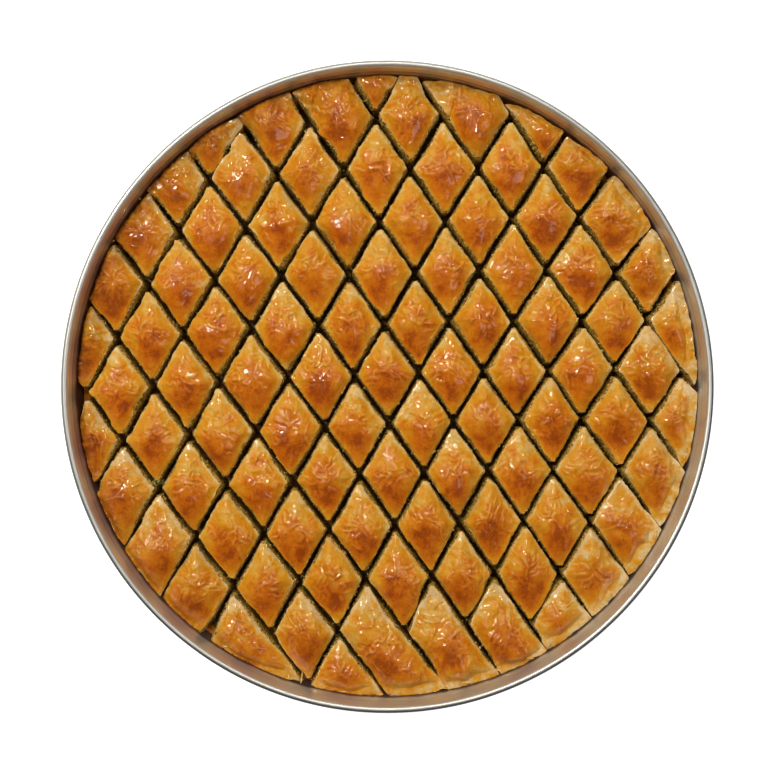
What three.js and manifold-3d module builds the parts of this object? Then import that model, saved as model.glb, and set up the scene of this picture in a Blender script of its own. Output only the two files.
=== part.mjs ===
// A full round tray of baklava, cut into diamonds.
//
// Millimetres, +Z up. The origin is the middle of the tray's flat underside, which rests on the table.
// Seen from above, with +X to the right and +Y up, one family of knife strokes runs down to the right
// and the other runs down to the left. A piece is named by the strips that it lies in: the first number
// counts the strips between the down-right strokes from the upper right to the lower left, and the
// second counts the strips between the down-left strokes from the lower right to the upper left.

import * as THREE from 'three';
import { mergeVertices } from 'three/addons/utils/BufferGeometryUtils.js';
import Module from 'manifold-3d';

const wasm = await Module();
wasm.setup();

// The tray: a spun pan with a flared wall and a rolled bead round its mouth.
const TRAY_OUTER_RADIUS = 200;
const TRAY_HEIGHT = 40;
const SHEET = 1.2;
const BEAD_RADIUS = 2.1;
const BEAD_STEPS = 9;
const WALL_FLARE = THREE.MathUtils.degToRad(12);
const CORNER_RADIUS = 6;
const CORNER_STEPS = 4;
const ROUND_SEGMENTS = 72;

// The baklava: the bottom sheets lie on the tray's floor, and the top sheets puff up into a crown.
const CLEARANCE = 0.3;
const FOOD_BOTTOM = SHEET + CLEARANCE;
const EDGE_TOP = 25;
const SHOULDER_TOP = 28.8;
const CROWN_TOP = 31.2;
const WALL_GAP = 1.5;
const FOOT_RADIUS = 182;

// How a piece's top rises: the shoulder and the last ring below the tip lie this share of the way from
// the edge to the middle, and the last ring this much below the tip.
const SHOULDER_SHARE = 0.26;
const CROWN_SHARE = 0.62;
const CROWN_DROP = 0.5;

// Beside the wall the tops are lower: the edge is rounded over this depth, and the shoulder and the
// crown start this far in from it. The crowns may stand this much above their mean height.
const ROUNDED_EDGE = 1.4;
const SHOULDER_INSET = 7;
const CROWN_INSET = 22;
const HEADROOM = 1.3;

// A knife stroke leaves a gap that is narrow at the tray's floor and wider at the top sheets.
const GAP_AT_FLOOR = 1.6;
const GAP_AT_TOP = 3.8;
const GAP_OF_EDGE_PIECES = 3.2;
const CLOSED_CUT_OVERLAP = 0.5;

// Each family of strokes: where the first one passes the tray's middle, the widths of the strips between
// one stroke and the next, the stroke's angle below the horizontal, how far each next stroke turns, and
// how far each stroke bows sideways by BOW_REACH from the middle of its length.
const BOW_REACH = 124;
const DOWN_RIGHT = {
  first: -158.5,
  widths: [34.8, 35.3, 33.4, 33.8, 33.9, 33.9, 36, 34.6, 35.1],
  angle: 56.2,
  turn: -0.39,
  bows: [0.5, 0, -0.9, -0.3, 0.3, 0.9, 0.9, -0.3, -0.8, -0.8],
};
const DOWN_LEFT = {
  first: -151.7,
  widths: [36.1, 34.7, 34, 34.4, 33.7, 35.3, 35.9, 34.3, 34.9],
  angle: 120.3,
  turn: 0,
  bows: [-2.5, -3.4, -5.8, -2.3, -1.6, -0.8, -0.4, -0.9, -0.9, -3.1],
};
const OUTER_STRIP = 60;

// A piece whose corner comes this close to the baklava's edge is an edge piece. What the wall leaves of
// a diamond is left out when it is no more than a crumb.
const WALL_REACH = 3;
const CRUMB_AREA = 110;

// Cuts that closed again in the oven, each between two pieces that still hang together.
const CLOSED_CUTS = [
  ['3_8', '3_9'],
  ['1_6', '1_7'],
  ['8_2', '8_3'],
  ['7_1', '7_2'],
  ['6_0', '6_1'],
  ['10_4', '10_5'],
  ['5_9', '5_10'],
  ['0_1', '1_1'],
];

// One flake of crust bridges the cut between two pieces near the top of the tray.
const BRIDGED = ['3_8', '4_8'];
const BRIDGE_PLACE = 0.42;
const BRIDGE_LENGTH = 6;
const BRIDGE_SPAN = 9;
const BRIDGE_BOTTOM = 17;
const BRIDGE_TOP = 24;

// The sheets' crumpled edge stays whole along the wall and holds the edge pieces together.
const CRUMPLED_EDGE_WIDTH = 4.5;
const CRUMPLED_EDGE_TOP = 17;
const CRUMPLE = 2;
const CRUMPLE_SEED = 7;

// How uneven the pieces are, and how far a diamond's tips are cut back.
const RAGGED_EDGE = 0.55;
const UNEVEN_CROWN = 0.9;
const UNEVEN_SHARE = 0.12;
const BLUNT_TIP = 2.2;

// An edge piece's outline has no side shorter than the first length and none much longer than the second.
const SHORTEST_SIDE = 3;
const LONGEST_SIDE = 18;

// Points closer together than this are one point, and a crossing of two bowed strokes is found in this
// many passes.
const WELD = 1e-4;
const CROSSING_PASSES = 8;

const CRUST = new THREE.MeshStandardMaterial({ color: 0xc27c2c, roughness: 0.32, metalness: 0 });
const EDGE_CRUST = new THREE.MeshStandardMaterial({ color: 0xc98f45, roughness: 0.4, metalness: 0 });
const SPUN_METAL = new THREE.MeshStandardMaterial({ color: 0xb9b4ab, roughness: 0.38, metalness: 0.9 });

// A repeatable draw between -1 and 1.
function drawsFrom(seed) {
  let state = seed * 2654435761;
  return () => {
    state = (state + 0x6d2b79f5) | 0;
    let mixed = Math.imul(state ^ (state >>> 15), 1 | state);
    mixed = (mixed + Math.imul(mixed ^ (mixed >>> 7), 61 | mixed)) ^ mixed;
    return (((mixed ^ (mixed >>> 14)) >>> 0) / 4294967296) * 2 - 1;
  };
}

// Solids from geometry, and geometry from solids.

function welded(geometry) {
  const plain = geometry.clone();
  plain.deleteAttribute('normal');
  plain.deleteAttribute('uv');
  const merged = mergeVertices(plain, WELD);
  const index = merged.index.array;
  const kept = [];
  for (let i = 0; i < index.length; i += 3) {
    const [a, b, c] = index.slice(i, i + 3);
    if (a !== b && b !== c && c !== a) kept.push(a, b, c);
  }
  merged.setIndex(kept);
  return merged;
}

function solidOf(geometry) {
  const merged = welded(geometry);
  return new wasm.Manifold(
    new wasm.Mesh({
      numProp: 3,
      vertProperties: new Float32Array(merged.attributes.position.array),
      triVerts: new Uint32Array(merged.index.array),
    }),
  );
}

function geometryOf(solid) {
  const mesh = solid.getMesh();
  const geometry = new THREE.BufferGeometry();
  geometry.setAttribute('position', new THREE.BufferAttribute(mesh.vertProperties, 3));
  geometry.setIndex(new THREE.BufferAttribute(mesh.triVerts, 1));
  return geometry;
}

// A profile of [radius, height] points turned round the Z axis.
function turned(profile) {
  const points = profile.map(([radius, height]) => new THREE.Vector2(radius, height));
  return new THREE.LatheGeometry(points, ROUND_SEGMENTS).rotateX(Math.PI / 2);
}

function named(name, geometry, material) {
  const mesh = new THREE.Mesh(geometry, material);
  mesh.name = name;
  return mesh;
}

// The tray's profile. The wall's inner face is tangent to the bead.

const beadCentre = [TRAY_OUTER_RADIUS - BEAD_RADIUS, TRAY_HEIGHT - BEAD_RADIUS];
const wallTop = [
  beadCentre[0] - BEAD_RADIUS * Math.cos(WALL_FLARE),
  beadCentre[1] + BEAD_RADIUS * Math.sin(WALL_FLARE),
];

function wallRadius(height) {
  return wallTop[0] - (wallTop[1] - height) * Math.tan(WALL_FLARE);
}

// A round corner between the level floor at the given height and the wall, offset outwards.
function corner(height, offset) {
  const radius = CORNER_RADIUS + offset;
  const centreHeight = SHEET + CORNER_RADIUS;
  const centreRadius = wallRadius(centreHeight) - CORNER_RADIUS / Math.cos(WALL_FLARE);
  const sweep = Math.PI / 2 - WALL_FLARE;
  return Array.from({ length: CORNER_STEPS + 1 }, (_, step) => {
    const turn = (sweep * step) / CORNER_STEPS;
    return [centreRadius + radius * Math.sin(turn), centreHeight - radius * Math.cos(turn)];
  });
}

function bead() {
  const wrapOutside = Math.acos(1 - SHEET / BEAD_RADIUS);
  const start = Math.PI + wrapOutside - WALL_FLARE;
  const sweep = 2 * Math.PI - wrapOutside;
  return Array.from({ length: BEAD_STEPS + 1 }, (_, step) => {
    const turn = start + (sweep * step) / BEAD_STEPS;
    return [
      beadCentre[0] + BEAD_RADIUS * Math.cos(turn),
      beadCentre[1] + BEAD_RADIUS * Math.sin(turn),
    ];
  });
}

function tray() {
  const outside = corner(0, SHEET);
  const inside = corner(SHEET, 0).reverse();
  return named('tray', turned([[0, 0], ...outside, ...bead(), ...inside, [0, SHEET]]), SPUN_METAL);
}

// The knife strokes. A stroke is a slightly bowed line, and a cell lies between two strokes of each family.

function strokes({ first, widths, angle, turn, bows }) {
  const offsets = widths.reduce((made, width) => [...made, made.at(-1) + width], [first]);
  const inner = offsets.map((offset, k) => ({ offset, angle: angle + turn * k, bow: bows[k] }));
  const before = { ...inner[0], offset: inner[0].offset - OUTER_STRIP };
  const after = { ...inner.at(-1), offset: inner.at(-1).offset + OUTER_STRIP };
  return [before, ...inner, after].map((stroke) => {
    const radians = THREE.MathUtils.degToRad(stroke.angle);
    return {
      ...stroke,
      along: new THREE.Vector2(Math.cos(radians), -Math.sin(radians)),
      across: new THREE.Vector2(-Math.sin(radians), -Math.cos(radians)),
    };
  });
}

const downRight = strokes(DOWN_RIGHT);
const downLeft = strokes(DOWN_LEFT);
const STRIPS = downRight.length - 1;

// Where two straight lines meet, each given by its unit normal and its distance from the middle.
function meeting(normalA, distanceA, normalB, distanceB) {
  const cross = normalA.cross(normalB);
  return new THREE.Vector2(
    (distanceA * normalB.y - distanceB * normalA.y) / cross,
    (distanceB * normalA.x - distanceA * normalB.x) / cross,
  );
}

function crossing(strokeA, strokeB) {
  const point = new THREE.Vector2();
  const distance = (stroke) => stroke.offset + stroke.bow * (point.dot(stroke.along) / BOW_REACH) ** 2;
  for (let pass = 0; pass < CROSSING_PASSES; pass += 1) {
    point.copy(meeting(strokeA.across, distance(strokeA), strokeB.across, distance(strokeB)));
  }
  return point;
}

// The four corners of a cell, anticlockwise from the right. Its sides, in the same order, face the
// neighbours in the strips given by SIDE_STEPS.
const SIDE_STEPS = [[-1, 0], [0, 1], [1, 0], [0, -1]];

function corners(i, j) {
  return [
    crossing(downRight[i], downLeft[j]),
    crossing(downRight[i], downLeft[j + 1]),
    crossing(downRight[i + 1], downLeft[j + 1]),
    crossing(downRight[i + 1], downLeft[j]),
  ];
}

// The outline with each side moved inwards by its own distance.
function inset(outline, distances) {
  const sides = outline.map((point, k) => {
    const next = outline[(k + 1) % outline.length];
    const direction = next.clone().sub(point).normalize();
    const inwards = new THREE.Vector2(-direction.y, direction.x);
    return { inwards, distance: inwards.dot(point) + distances[k] };
  });
  return sides.map((side, k) => {
    const previous = sides.at(k - 1);
    return meeting(previous.inwards, previous.distance, side.inwards, side.distance);
  });
}

// The part of a convex outline on the inner side of a line.
function clipped(outline, normal, distance) {
  const kept = [];
  outline.forEach((point, k) => {
    const next = outline[(k + 1) % outline.length];
    const here = normal.dot(point) - distance;
    const there = normal.dot(next) - distance;
    if (here <= 0) kept.push(point);
    if (here * there < 0) kept.push(point.clone().lerp(next, here / (here - there)));
  });
  return kept;
}

function insideWall(outline, radius) {
  const step = (2 * Math.PI) / ROUND_SEGMENTS;
  const reach = radius * Math.cos(step / 2);
  let kept = outline;
  for (let k = 0; k < ROUND_SEGMENTS; k += 1) {
    const turn = (k + 0.5) * step;
    kept = clipped(kept, new THREE.Vector2(Math.cos(turn), Math.sin(turn)), reach);
  }
  return kept;
}

function area(outline) {
  return THREE.ShapeUtils.area(outline);
}

function middleOf(outline) {
  const sum = new THREE.Vector2();
  let total = 0;
  outline.forEach((point, k) => {
    const next = outline[(k + 1) % outline.length];
    const weight = point.cross(next);
    sum.addScaledVector(point.clone().add(next), weight / 3);
    total += weight;
  });
  return sum.divideScalar(total);
}

// Points put between the corners, so that no stretch of the outline is longer than the given length.
function divided(outline, length) {
  return outline.flatMap((point, k) => {
    const next = outline[(k + 1) % outline.length];
    const count = Math.max(1, Math.round(point.distanceTo(next) / length));
    return Array.from({ length: count }, (_, step) => point.clone().lerp(next, step / count));
  });
}

// Corners that come closer together than the given length become one.
function simplified(outline, length) {
  return outline.filter((point, k) => point.distanceTo(outline.at(k - 1)) > length);
}

// A closed skin over rings of equal length, with a point at each end.
function skinned(rings, bottom, top) {
  const count = rings[0].length;
  const positions = [bottom, ...rings.flat(), top].flatMap((point) => point.toArray());
  const last = positions.length / 3 - 1;
  const index = [];
  for (let k = 0; k < count; k += 1) {
    const next = (k + 1) % count;
    index.push(0, 1 + next, 1 + k);
    for (let level = 0; level < rings.length - 1; level += 1) {
      const low = 1 + level * count;
      const high = low + count;
      index.push(low + k, low + next, high + next, low + k, high + next, high + k);
    }
    index.push(last - count + k, last - count + next, last);
  }
  const geometry = new THREE.BufferGeometry();
  geometry.setAttribute('position', new THREE.Float32BufferAttribute(positions, 3));
  geometry.setIndex(index);
  return geometry;
}

// A puffed piece: straight sides from the floor to the edge of the top sheets, then a crown.
function puffed(atFloor, atTop, draw) {
  const middle = middleOf(atTop);
  const crown = middle.clone().add(new THREE.Vector2(draw(), draw()).multiplyScalar(UNEVEN_CROWN));
  const level = (outline, towards, height, uneven) =>
    outline.map((point) => {
      const share = towards * (1 + UNEVEN_SHARE * draw());
      const place = point.clone().lerp(crown, share);
      return new THREE.Vector3(place.x, place.y, height + uneven * draw());
    });
  const rings = [
    atFloor.map((point) => new THREE.Vector3(point.x, point.y, FOOD_BOTTOM)),
    atTop.map((point) => new THREE.Vector3(point.x, point.y, EDGE_TOP + RAGGED_EDGE * draw())),
    level(atTop, SHOULDER_SHARE, SHOULDER_TOP, UNEVEN_CROWN),
    level(atTop, CROWN_SHARE, CROWN_TOP - CROWN_DROP, UNEVEN_CROWN / 2),
  ];
  const bottom = new THREE.Vector3(middle.x, middle.y, FOOD_BOTTOM);
  return skinned(rings, bottom, new THREE.Vector3(crown.x, crown.y, CROWN_TOP));
}

// The space that the baklava fills in the tray: a foot that clears the round corner, an edge that leans
// with the wall, and a shoulder that rounds into the crowns.
const edgeRadius = wallRadius(EDGE_TOP) - WALL_GAP;
const cornerTop = SHEET + CORNER_RADIUS + CLEARANCE;
const envelope = solidOf(
  turned([
    [0, FOOD_BOTTOM],
    [FOOT_RADIUS, FOOD_BOTTOM],
    [wallRadius(CORNER_RADIUS) - 2 * WALL_GAP, CORNER_RADIUS - SHEET],
    [wallRadius(cornerTop) - WALL_GAP, cornerTop],
    [edgeRadius, EDGE_TOP - ROUNDED_EDGE / 2],
    [edgeRadius - ROUNDED_EDGE, EDGE_TOP + ROUNDED_EDGE],
    [edgeRadius - SHOULDER_INSET, SHOULDER_TOP + HEADROOM],
    [edgeRadius - CROWN_INSET, CROWN_TOP + HEADROOM],
    [0, CROWN_TOP + HEADROOM],
  ]),
);

// Which cells hold a piece, and which of them belong to the edge.

const joins = (pair, here, there) => pair.includes(here) && pair.includes(there);

function neighbour(i, j, side) {
  return `${i + SIDE_STEPS[side][0]}_${j + SIDE_STEPS[side][1]}`;
}

function isClosed(i, j, side) {
  return CLOSED_CUTS.some((pair) => joins(pair, `${i}_${j}`, neighbour(i, j, side)));
}

const cells = [];
for (let i = 0; i < STRIPS; i += 1) {
  for (let j = 0; j < STRIPS; j += 1) {
    const outline = corners(i, j);
    const shown = insideWall(outline, edgeRadius);
    const key = `${i}_${j}`;
    if (shown.length > 2 && area(shown) > CRUMB_AREA) {
      const atWall = outline.some((point) => point.length() > edgeRadius - WALL_REACH);
      const hangsOn = [...CLOSED_CUTS, BRIDGED].some((pair) => pair.includes(key));
      cells.push({ i, j, key, outline, edge: atWall || hangsOn });
    }
  }
}

// A diamond away from the wall. Its tips are blunt, and its top edge is ragged.
function diamond({ i, j, outline }) {
  const draw = drawsFrom(1 + i * STRIPS + j);
  const blunted = (gap) => {
    const points = inset(outline, Array(4).fill(gap / 2));
    return points.flatMap((point, k) => {
      const before = points.at(k - 1);
      const after = points[(k + 1) % 4];
      return [
        point.clone().lerp(before, BLUNT_TIP / point.distanceTo(before)),
        point.clone().lerp(after, BLUNT_TIP / point.distanceTo(after)),
        point.clone().lerp(after, 0.5),
      ];
    });
  };
  const middle = middleOf(outline);
  const ragged = (point) => {
    const outwards = point.clone().sub(middle).normalize();
    return point.clone().addScaledVector(outwards, RAGGED_EDGE * draw());
  };
  return puffed(blunted(GAP_AT_FLOOR), blunted(GAP_AT_TOP).map(ragged), draw);
}

// A piece that meets the wall, or hangs on to one that does.
function edgePiece({ i, j, outline }) {
  const draw = drawsFrom(1 + i * STRIPS + j);
  const gaps = SIDE_STEPS.map((_, side) =>
    isClosed(i, j, side) ? -CLOSED_CUT_OVERLAP : GAP_OF_EDGE_PIECES / 2,
  );
  const beyondWall = edgeRadius + 2 * WALL_GAP;
  const shown = simplified(insideWall(inset(outline, gaps), beyondWall), SHORTEST_SIDE);
  const points = divided(shown, LONGEST_SIDE);
  return solidOf(puffed(points, points, draw));
}

// The crumpled edge of the sheets: a low uneven ring against the wall. Its outer side and its foot reach
// beyond the baklava's space, which trims them.
function crumpledEdge() {
  const inner = edgeRadius - CRUMPLED_EDGE_WIDTH;
  const outer = edgeRadius + 2 * WALL_GAP;
  const ring = welded(
    turned([
      [inner, 0],
      [outer, 0],
      [outer, CRUMPLED_EDGE_TOP],
      [inner, CRUMPLED_EDGE_TOP],
      [inner, 0],
    ]),
  );
  const draw = drawsFrom(CRUMPLE_SEED);
  const { position } = ring.attributes;
  for (let k = 0; k < position.count; k += 1) {
    const lift = position.getZ(k) > CRUMPLED_EDGE_TOP / 2 ? CRUMPLE * draw() : 0;
    position.setZ(k, position.getZ(k) + lift);
  }
  return solidOf(ring);
}

function bridge() {
  const [here, there] = BRIDGED.map((key) => cells.find((cell) => cell.key === key));
  const side = SIDE_STEPS.findIndex((_, k) => neighbour(here.i, here.j, k) === there.key);
  const from = here.outline[side];
  const to = here.outline[(side + 1) % 4];
  const place = from.clone().lerp(to, BRIDGE_PLACE);
  const direction = to.clone().sub(from);
  const box = new THREE.BoxGeometry(BRIDGE_LENGTH, BRIDGE_SPAN, BRIDGE_TOP - BRIDGE_BOTTOM);
  box.rotateZ(direction.angle());
  box.translate(place.x, place.y, (BRIDGE_TOP + BRIDGE_BOTTOM) / 2);
  return solidOf(box);
}

function edgePieces() {
  const pieces = cells.filter((cell) => cell.edge).map(edgePiece);
  const joined = [...pieces, bridge(), crumpledEdge()].reduce((made, piece) => made.add(piece));
  return named('edge_pieces', geometryOf(joined.intersect(envelope)), EDGE_CRUST);
}

// A diamond whose corner lies over the tray's round corner is trimmed to the space that is there.
function wholeDiamond(cell) {
  const geometry = diamond(cell);
  const overCorner = cell.outline.some((point) => point.length() > FOOT_RADIUS);
  const fitted = overCorner ? geometryOf(solidOf(geometry).intersect(envelope)) : geometry;
  return named(`piece_${cell.key}`, fitted, CRUST);
}

const baklava = new THREE.Group();
baklava.add(tray(), edgePieces());
baklava.add(...cells.filter((cell) => !cell.edge).map(wholeDiamond));

export default baklava;
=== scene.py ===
# %% [markdown]
# # A full round tray of baklava
#
# The real object is a flared aluminium tray, forty centimetres wide and four deep. Sheets of buttered
# filo with ground pistachio between them were laid in it and cut with a knife in two directions before
# baking. In the oven the top sheets of each diamond puffed up and browned, and hot syrup was poured over
# the whole tray afterwards, which left a gloss on the crust and soaked the layers.
#
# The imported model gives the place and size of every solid. This script makes the fine surface that stands
# for each of them: the spun tray, one separate diamond after another, and the crumbs, flakes and syrup
# that a solid model leaves out.

# %% Load the frame
import math

import bmesh
import bpy
import numpy as np
from mathutils import Euler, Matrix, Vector


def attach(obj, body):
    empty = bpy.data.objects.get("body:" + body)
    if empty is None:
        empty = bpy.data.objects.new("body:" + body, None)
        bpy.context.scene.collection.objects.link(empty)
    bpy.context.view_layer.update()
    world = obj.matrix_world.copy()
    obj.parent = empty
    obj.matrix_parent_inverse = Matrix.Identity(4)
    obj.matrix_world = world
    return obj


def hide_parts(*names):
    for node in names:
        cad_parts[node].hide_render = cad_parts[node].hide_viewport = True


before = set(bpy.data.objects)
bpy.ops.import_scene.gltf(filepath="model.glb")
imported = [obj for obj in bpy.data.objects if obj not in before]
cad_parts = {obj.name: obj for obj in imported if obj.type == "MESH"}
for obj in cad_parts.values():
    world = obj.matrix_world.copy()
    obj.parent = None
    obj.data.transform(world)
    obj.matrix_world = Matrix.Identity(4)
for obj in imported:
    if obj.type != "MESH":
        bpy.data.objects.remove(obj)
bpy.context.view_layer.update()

# %% [markdown]
# ## Working units
#
# A pastry cook thinks in millimetres, and so do the numbers below. Blender's scene is in metres, so a
# piece is modelled in millimetres and made smaller in one place, when its mesh is finished. Every piece
# rides on the only body, because nothing on a tray of baklava moves by itself.

# %% Finish a piece
MM = 0.001
SHARP_ANGLE = math.radians(48)


def points_of(mesh):
    """The mesh's points as rows of x, y and z."""
    flat = np.empty(len(mesh.vertices) * 3)
    mesh.vertices.foreach_get("co", flat)
    return flat.reshape(-1, 3)


def mesh_from(shape, name):
    """The bmesh becomes a mesh, still in millimetres."""
    mesh = bpy.data.meshes.new(name)
    shape.to_mesh(mesh)
    shape.free()
    return mesh


def finished(mesh, points, materials, marks=None):
    """Puts the points in place in metres and makes the mesh a piece that rides on the tray's body."""
    mesh.vertices.foreach_set("co", (points * MM).ravel())
    for material in materials:
        mesh.materials.append(material)
    for mark, values in (marks or {}).items():
        mesh.attributes.new(mark, "FLOAT", "POINT").data.foreach_set("value", values)
    mesh.shade_smooth()
    mesh.set_sharp_from_angle(angle=SHARP_ANGLE)
    mesh.update()
    piece = bpy.data.objects.new(mesh.name, mesh)
    bpy.context.scene.collection.objects.link(piece)
    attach(piece, "root")
    return piece


# %% [markdown]
# ## Camera
#
# The tray is seen from straight above, with its right side to the right. The lens stands three quarters of
# a metre over the rim: that distance shows the inner wall all round, and the sides of the outer diamonds
# that face the middle. The tray sits a few pixels off the picture's centre, so the camera stands a little
# aside instead of being turned. The rim's height is that of the solid tray, whose bead has flat facets.

# %% Camera
PICTURE = 768
RIM_RADIUS = 200.0
RIM_HEIGHT = 39.95
RIM_RADIUS_IN_PIXELS = 327.5
RIM_CENTRE_IN_PIXELS = (387.3, 386.7)
CAMERA_OVER_RIM = 750.0
SENSOR = 36.0

focal_pixels = RIM_RADIUS_IN_PIXELS * CAMERA_OVER_RIM / RIM_RADIUS
pixel_at_rim = RIM_RADIUS / RIM_RADIUS_IN_PIXELS
camera_place = np.array([
    (PICTURE / 2 - RIM_CENTRE_IN_PIXELS[0]) * pixel_at_rim,
    (RIM_CENTRE_IN_PIXELS[1] - PICTURE / 2) * pixel_at_rim,
    RIM_HEIGHT + CAMERA_OVER_RIM,
])

camera_data = bpy.data.cameras.new("camera")
camera_data.sensor_width = SENSOR
camera_data.lens = SENSOR * focal_pixels / PICTURE
camera_data.clip_start = 0.01
camera = bpy.data.objects.new("camera", camera_data)
camera.location = camera_place * MM
bpy.context.scene.collection.objects.link(camera)
bpy.context.scene.camera = camera
bpy.context.scene.view_settings.view_transform = "Standard"
print("lens", round(camera_data.lens, 1), "mm, camera at", camera_place.round(2), "mm")


def under_pixel(x, y, height):
    """The point, in millimetres, that the camera shows at a pixel if it lies at that height."""
    scale = (camera_place[2] - height) / focal_pixels
    across = camera_place[0] + (x - PICTURE / 2) * scale
    return np.array([across, camera_place[1] - (y - PICTURE / 2) * scale, height])


# %% [markdown]
# ## Floor and light
#
# A glazed crust is judged by what it mirrors. Two small warm lamps, a third of the way down from overhead,
# put the bright streaks on each crown: one stands at the upper left, and a weaker one at the top of the
# picture. A wide soft light behind the first shades the diamonds and the wall, a wide one at the top turns
# the upper half of each diamond golden, and a weak one stands at the right. A pale world fills the
# shadows. The floor is a plain pale sheet that glows a little, so that it stays white behind the tray.

# %% Floor and light
FLOOR_HALF = 2.5


def add_light(name, place, size, power, colour):
    """A square soft light in metres that faces the tray."""
    data = bpy.data.lights.new(name, "AREA")
    data.shape = "RECTANGLE"
    data.size, data.size_y = size
    data.energy = power
    data.color = colour
    light = bpy.data.objects.new(name, data)
    light.location = place
    light.rotation_euler = (-Vector(place)).to_track_quat("-Z", "Y").to_euler()
    bpy.context.scene.collection.objects.link(light)


add_light("left_lamp", (-0.72, 0.55, 1.60), (0.24, 0.24), 14.8, (1.0, 0.90, 0.70))
add_light("upper_lamp", (0.16, 0.90, 1.50), (0.22, 0.22), 5.5, (1.0, 0.90, 0.70))
add_light("key_light", (-1.50, 1.45, 2.00), (2.6, 2.6), 7.8, (1.0, 1.0, 0.97))
add_light("side_light", (1.00, 0.00, 1.50), (0.6, 0.7), 2.9, (1.0, 0.99, 0.97))
add_light("top_light", (0.30, 2.60, 1.80), (3.0, 1.6), 6.1, (1.0, 1.0, 0.96))

# %% [markdown]
# ## Colours and nodes
#
# A colour is read off as an sRGB hex value and turned to the linear value that a shader wants. One small
# function adds any node with its settings and links, which keeps a material as short as a recipe.

# %% Colours and nodes


def srgb(code):
    """The linear colour of an sRGB hex code such as #C27C2C."""
    parts = [int(code[k:k + 2], 16) / 255 for k in (1, 3, 5)]
    linear = [p / 12.92 if p <= 0.04045 else ((p + 0.055) / 1.055) ** 2.4 for p in parts]
    return (*linear, 1.0)


def node(tree, kind, inputs=None, stops=None, **settings):
    """Adds a node. Inputs are values or other nodes' sockets, and stops are a colour ramp's."""
    made = tree.nodes.new(kind)
    for name, value in settings.items():
        setattr(made, name, value)
    for name, value in (inputs or {}).items():
        if isinstance(value, bpy.types.NodeSocket):
            tree.links.new(value, made.inputs[name])
        else:
            made.inputs[name].default_value = value
    if stops:
        ramp = made.color_ramp.elements
        while len(ramp) < len(stops):
            ramp.new(1.0)
        for element, (place, code) in zip(ramp, stops):
            element.position = place
            element.color = srgb(code)
    return made


def blank(name):
    """A new material with nothing but its output, and its node tree."""
    material = bpy.data.materials.new(name)
    material.use_nodes = True
    material.node_tree.nodes.clear()
    return material, material.node_tree


def surfaced(tree, shader):
    """Links a shader to the material's output."""
    node(tree, "ShaderNodeOutputMaterial", {"Surface": shader.outputs[0]})


# %% Floor and world
paper, tree = blank("matt_white_paper")
surfaced(tree, node(tree, "ShaderNodeBsdfPrincipled", {
    "Base Color": srgb("#F4F4F4"),
    "Roughness": 0.9,
    "Emission Color": srgb("#FFFFFF"),
    "Emission Strength": 0.86,
}))
shape = bmesh.new()
bmesh.ops.create_grid(shape, x_segments=1, y_segments=1, size=FLOOR_HALF)
floor_mesh = mesh_from(shape, "floor")
floor_mesh.materials.append(paper)
floor = bpy.data.objects.new("floor", floor_mesh)
bpy.context.scene.collection.objects.link(floor)

world = bpy.data.worlds.new("studio")
bpy.context.scene.world = world
world.use_nodes = True
world.node_tree.nodes.clear()
sky = node(world.node_tree, "ShaderNodeBackground", {"Color": srgb("#FFFDFA"), "Strength": 0.09})
node(world.node_tree, "ShaderNodeOutputWorld", {"Surface": sky.outputs[0]})

# %% [markdown]
# ## Uneven by nature
#
# Nothing on a baked tray is even, and nothing on it is jagged either: every wobble is smooth at its own
# size. The function below gives such a wobble for thousands of points at once. It keeps random numbers at
# the crossings of a lattice and blends between them, so its waves are as long as the lattice is wide.
# Every draw has a seed, and the tray comes out the same each time.

# %% Smooth noise
LATTICE = 32


def wobble(points, wavelength, seed):
    """Smooth noise between -1 and 1 at each point. The wavelength may differ along x, y and z."""
    lattice = np.random.default_rng(seed).uniform(-1, 1, (LATTICE, LATTICE, LATTICE))
    place = points / np.asarray(wavelength, float)
    low = np.floor(place).astype(int)
    part = place - low
    part = part * part * (3 - 2 * part)
    total = np.zeros(len(points))
    for corner in np.ndindex(2, 2, 2):
        x, y, z = ((low + corner) % LATTICE).T
        weight = np.prod(np.where(corner, part, 1 - part), axis=1)
        total += weight * lattice[x, y, z]
    return total


# %% [markdown]
# ## Spun aluminium
#
# The tray is pressed and spun from aluminium sheet, which is left bare. Spinning leaves fine concentric
# marks, about half a millimetre apart, and years of ovens leave a brown film that is thickest low on the
# wall, with small dark specks of burnt sugar. A dark brown line just above the baklava is painted shade,
# where the narrow gap between the food and the wall lies in shadow. Towards the lower right, where the
# light falls on the wall, the film is painted thinner, greyer and bluer as painted light. The outside of
# the wall has less film than the inside, and the outside of the rim is painted dark grey as shade, most
# at the lower right, where it faces away from the light.
# The marks follow the radius, so the pattern is worked out from the distance to the tray's axis, and the
# painted shade line is kept to the inside of the wall. The metal keeps the default index of refraction.

# %% Spun aluminium
SPIN_MARK = 0.55
STREAK = 1.6
WALL_FLARE = math.radians(12)
INSIDE_AT_FOOT = 187.7
FILM_TOP, FILM_FOOT = 38.0, 24.0
# Heights of a dark brown line painted on the inside of the wall as shade, just above the baklava.
SHADE_LINE_TOP, SHADE_LINE_FOOT = 25.2, 23.4
# From here outwards the outside of the rim is painted dark as shade.
OUTER_SHADE_FROM, OUTER_SHADE_TO = 197.6, 198.6
# Towards the lower right the film is painted thinner and bluer as painted light, and the outside of the rim
# darker as painted shade.
TOWARD_LOWER_RIGHT = (0.35, -0.94, 0.0)

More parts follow.
